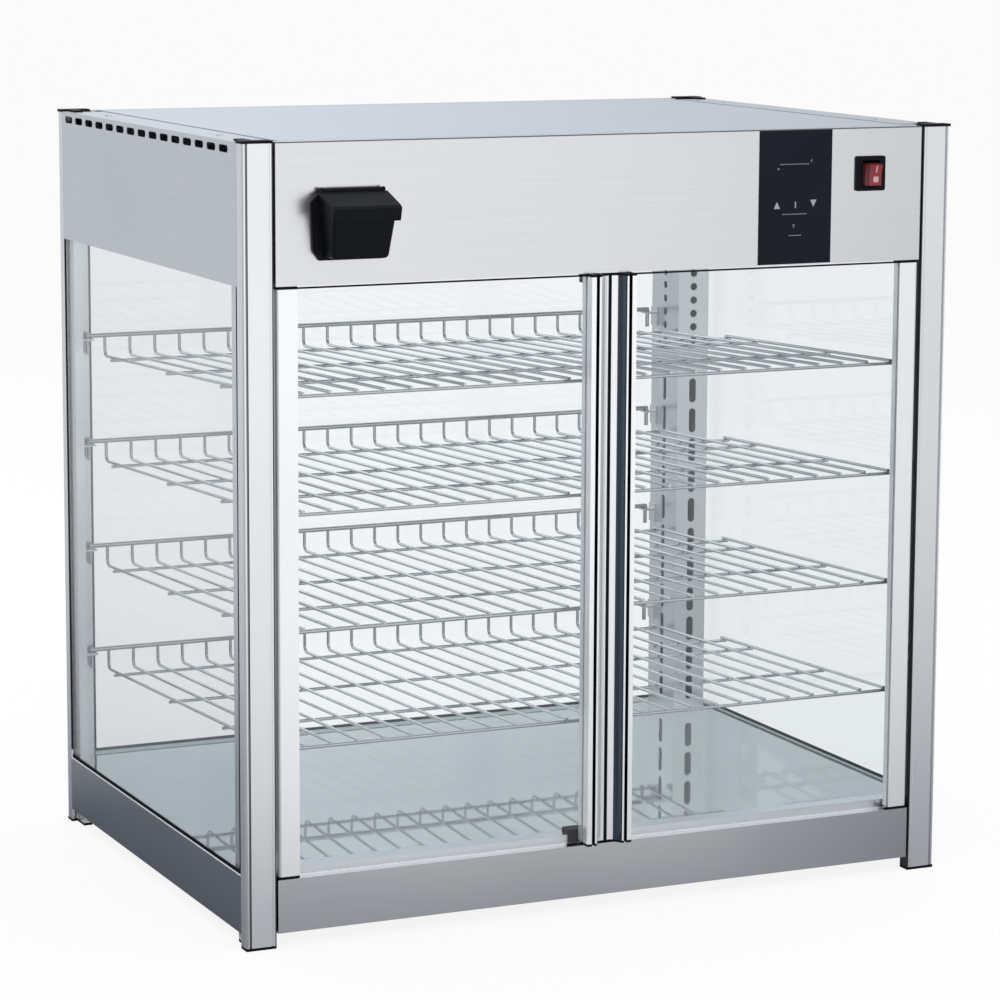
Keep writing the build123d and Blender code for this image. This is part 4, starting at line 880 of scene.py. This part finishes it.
class DISPLAY_OT_print_panel(bpy.types.Operator):
    """Plain arrows, bars and dashes printed on the control panel"""
    bl_idname = "display_case.print_panel"
    bl_label = "Print Control Panel"

    def execute(self, context):
        scene = context.scene
        sizes = scene.case_sizes
        low, high = node_box("control_panel")
        width, height = high[0] - low[0], high[2] - low[2]
        face_y = low[1]
        line = sizes.print_line

        def at(across, up):
            """A place on the panel, as shares of its width and height."""
            return low[0] + across * width, low[2] + up * height

        def bar(across, up, wide, tall):
            """A printed bar about a place."""
            x_mid, z_mid = at(across, up)
            outline = [(x_mid + right * wide / 2, z_mid + above * tall / 2)
                       for right, above in ((-1, -1), (1, -1), (1, 1), (-1, 1))]
            return flat_prism(outline, face_y, sizes.print_height)

        def arrow(across, up, way):
            """A printed triangle that points up, 1, or down, -1."""
            x_mid, z_mid = at(across, up)
            half = sizes.key_mark / 2
            outline = [(x_mid - half, z_mid - way * half), (x_mid + half, z_mid - way * half),
                       (x_mid, z_mid + way * half)]
            return flat_prism(outline[::way], face_y, sizes.print_height)

        def dashes(across_from, across_to, up, count, filled=0.6):
            """A row of short printed dashes that fill a share of their equal steps."""
            pitch = (across_to - across_from) / count
            return [bar(across_from + (k + 0.5) * pitch, up, filled * pitch * width, line)
                    for k in range(count)]

        # Each mark's place across and up the panel, then its width and height.
        parts = [
            arrow(0.241, 0.443, 1), arrow(0.745, 0.451, -1),
            bar(0.497, 0.443, 1.6 * line, 0.9 * sizes.key_mark),
            bar(0.476, 0.292, 3 * line, line), bar(0.476, 0.278, 1.6 * line, line),
            bar(0.255, 0.714, 1.8 * line, 1.8 * line), bar(0.71, 0.771, line, 3 * line),
            *dashes(0.31, 0.655, 0.374, 11), *dashes(0.407, 0.586, 0.214, 6),
            *dashes(0.27, 0.683, 0.748, 13),
        ]
        vertices, faces = joined(parts)
        ink, tree, shader = new_material("Grey ink")
        feed(tree, (*scene.case_colours.marks, 1), shader.inputs["Base Color"])
        feed(tree, 0.5, shader.inputs["Roughness"])
        piece = put_piece("panel_marks", vertices, faces, ink, "case")
        return {"FINISHED"}


class DISPLAY_OT_set_stage(bpy.types.Operator):
    """Plain pale floor, soft lamps and the camera at the photograph's angle"""
    bl_idname = "display_case.set_stage"
    bl_label = "Set Stage"

    def execute(self, context):
        make_floor(context.scene)
        make_world(context.scene)
        make_lamps(context.scene)
        make_camera(context.scene)
        context.scene.view_settings.view_transform = "Standard"
        return {"FINISHED"}


def ray_masks(tree):
    """Two masks: rays seen straight or through glass, and rays that metal mirrors."""
    path = tree.nodes.new("ShaderNodeLightPath").outputs
    seen = number(tree, "MAXIMUM", path["Is Camera Ray"], path["Is Transmission Ray"])
    bounced = number(tree, "GREATER_THAN", path["Glossy Depth"], 0.5)
    return seen, number(tree, "MULTIPLY", bounced, path["Is Glossy Ray"])


def floor_nearness(tree, place):
    """How near the case the floor is: 1 at its foot, falling as e to minus the distance."""
    half = (CASE_HIGH - CASE_LOW) / 2
    outside = vector(tree, "SUBTRACT", vector(tree, "ABSOLUTE", place), (half[0], half[1], 0))
    distance = vector(tree, "LENGTH", vector(tree, "MAXIMUM", outside, BLACK))
    return number(tree, "EXPONENT", number(tree, "MULTIPLY", distance, -1.0 / FLOOR_FADE))


def floor_painted_shade(tree, place):
    """Painted shade that metal mirrors from the floor at the case's foot: paler in front,
    darker right and left.
    """
    across, _, _ = axes(tree, place)
    front = blended(tree, smooth_step(tree, across, *NEAR_TURN), NEAR_FRONT, NEAR_RIGHT)
    left = number(tree, "LESS_THAN", across, CASE_LOW[0] - BESIDE)
    return blended(tree, left, front, NEAR_LEFT)


def make_floor(scene):
    """A disc at height 0: points equally spaced on a circle."""
    angle = np.linspace(0, 2 * np.pi, RIM_POINTS, endpoint=False)
    radius = scene.case_sizes.floor_radius
    rim = np.column_stack([radius * np.cos(angle), radius * np.sin(angle),
                           np.zeros(RIM_POINTS)])
    mesh = bpy.data.meshes.new("studio_floor")
    mesh.from_pydata(rim.tolist(), [], [tuple(range(RIM_POINTS))])
    material, tree, shader = new_material("Floor")
    feed(tree, (*scene.case_colours.floor, 1), shader.inputs["Base Color"])
    feed(tree, FLOOR_ROUGHNESS, shader.inputs["Roughness"])
    place = object_place(tree)
    seen, mirrored = ray_masks(tree)
    tones = put_effect(tree, "Studio tones", Place=place)["Colour"]
    toned = blended(tree, floor_nearness(tree, place), tones, floor_painted_shade(tree, place))
    glow = tree.nodes.new("ShaderNodeEmission")
    feed(tree, blended(tree, mirrored, WHITE, toned), glow.inputs["Color"])
    share = number(tree, "MAXIMUM", number(tree, "MULTIPLY", seen, FLOOR_GLOW), mirrored)
    mix_surfaces(tree, share, shader, glow)
    mesh.materials.append(material)
    floor = bpy.data.objects.new("studio_floor", mesh)
    scene.collection.objects.link(floor)


def make_world(scene):
    """White where it is seen, softboxes where metal mirrors it, and plain light elsewhere."""
    world = bpy.data.worlds.new("Studio")
    scene.world = world
    world.use_nodes = True
    tree = world.node_tree
    tree.nodes.clear()
    place = object_place(tree)
    seen, mirrored = ray_masks(tree)
    tones = put_effect(tree, "Studio tones", Place=place)["Colour"]
    _, _, up = axes(tree, place)
    boxes = blended(tree, smooth_step(tree, up, *OVERHEAD_RISE), tones, OVERHEAD)
    plain = blended(tree, seen, WORLD_LIGHT, WHITE)
    background = tree.nodes.new("ShaderNodeBackground")
    feed(tree, blended(tree, mirrored, plain, boxes), background.inputs["Color"])
    output = tree.nodes.new("ShaderNodeOutputWorld")
    feed(tree, background.outputs[0], output.inputs["Surface"])


def make_lamps(scene):
    """Four broad soft lamps that look at the middle of the case."""
    aim = (CASE_LOW + CASE_HIGH) / 2
    for name, place, size, power in LAMPS:
        lamp = bpy.data.lights.new(f"{name}_lamp", "AREA")
        lamp.shape = "DISK"
        lamp.size = size
        lamp.energy = power
        holder = bpy.data.objects.new(f"{name}_lamp", lamp)
        holder.location = place
        holder.visible_glossy = False
        holder.rotation_euler = (aim - Vector(place)).to_track_quat("-Z", "Y").to_euler()
        scene.collection.objects.link(holder)


def make_camera(scene):
    """The camera at the photograph's place and angle."""
    azimuth, elevation, roll = (math.radians(angle) for angle in
                                (CAMERA_AZIMUTH, CAMERA_ELEVATION, CAMERA_ROLL))
    back = Vector((math.sin(azimuth) * math.cos(elevation),
                   -math.cos(azimuth) * math.cos(elevation), math.sin(elevation)))
    level = Vector((0, 0, 1)).cross(back).normalized()
    above = back.cross(level)
    right = level * math.cos(roll) + above * math.sin(roll)
    up = above * math.cos(roll) - level * math.sin(roll)
    turn = Matrix((right, up, back)).transposed()
    data = bpy.data.cameras.new("photo_camera")
    data.lens = CAMERA_LENS
    data.shift_y = CAMERA_SHIFT_Y
    data.clip_end = CAMERA_REACH
    camera = bpy.data.objects.new("photo_camera", data)
    camera.matrix_world = Matrix.Translation(CAMERA_PLACE) @ turn.to_4x4()
    scene.collection.objects.link(camera)
    scene.camera = camera


class DISPLAY_PT_pieces(bpy.types.Panel):
    """Lists the steps that dress the display case, and its sizes and colours"""
    bl_idname = "DISPLAY_PT_pieces"
    bl_label = "Display Case"
    bl_space_type = "VIEW_3D"
    bl_region_type = "UI"
    bl_category = "Display Case"

    def draw(self, context):
        for step in STEPS:
            self.layout.operator(step.bl_idname)
        for name in CaseSizes.__annotations__:
            self.layout.prop(context.scene.case_sizes, name)
        for name in CaseColours.__annotations__:
            self.layout.prop(context.scene.case_colours, name)


STEPS = (
    DISPLAY_OT_set_stage,
    DISPLAY_OT_dress_posts,
    DISPLAY_OT_dress_sheet_metal,
    DISPLAY_OT_dress_chamber,
    DISPLAY_OT_dress_glass,
    DISPLAY_OT_dress_shelves,
    DISPLAY_OT_dress_plastics,
    DISPLAY_OT_dress_rocker,
    DISPLAY_OT_print_panel,
)
CLASSES = (CaseSizes, CaseColours, *STEPS, DISPLAY_PT_pieces)


def register():
    """Registers the classes and hangs the settings on the scene."""
    for entry in CLASSES:
        bpy.utils.register_class(entry)
    bpy.types.Scene.case_sizes = PointerProperty(type=CaseSizes)
    bpy.types.Scene.case_colours = PointerProperty(type=CaseColours)


def unregister():
    """Takes the settings off the scene and removes the classes."""
    del bpy.types.Scene.case_sizes
    del bpy.types.Scene.case_colours
    for entry in reversed(CLASSES):
        bpy.utils.unregister_class(entry)


def main():
    """Runs every step in order."""
    register()
    for step in STEPS:
        group, name = step.bl_idname.split(".")
        getattr(getattr(bpy.ops, group), name)()


if __name__ == "__main__":
    main()
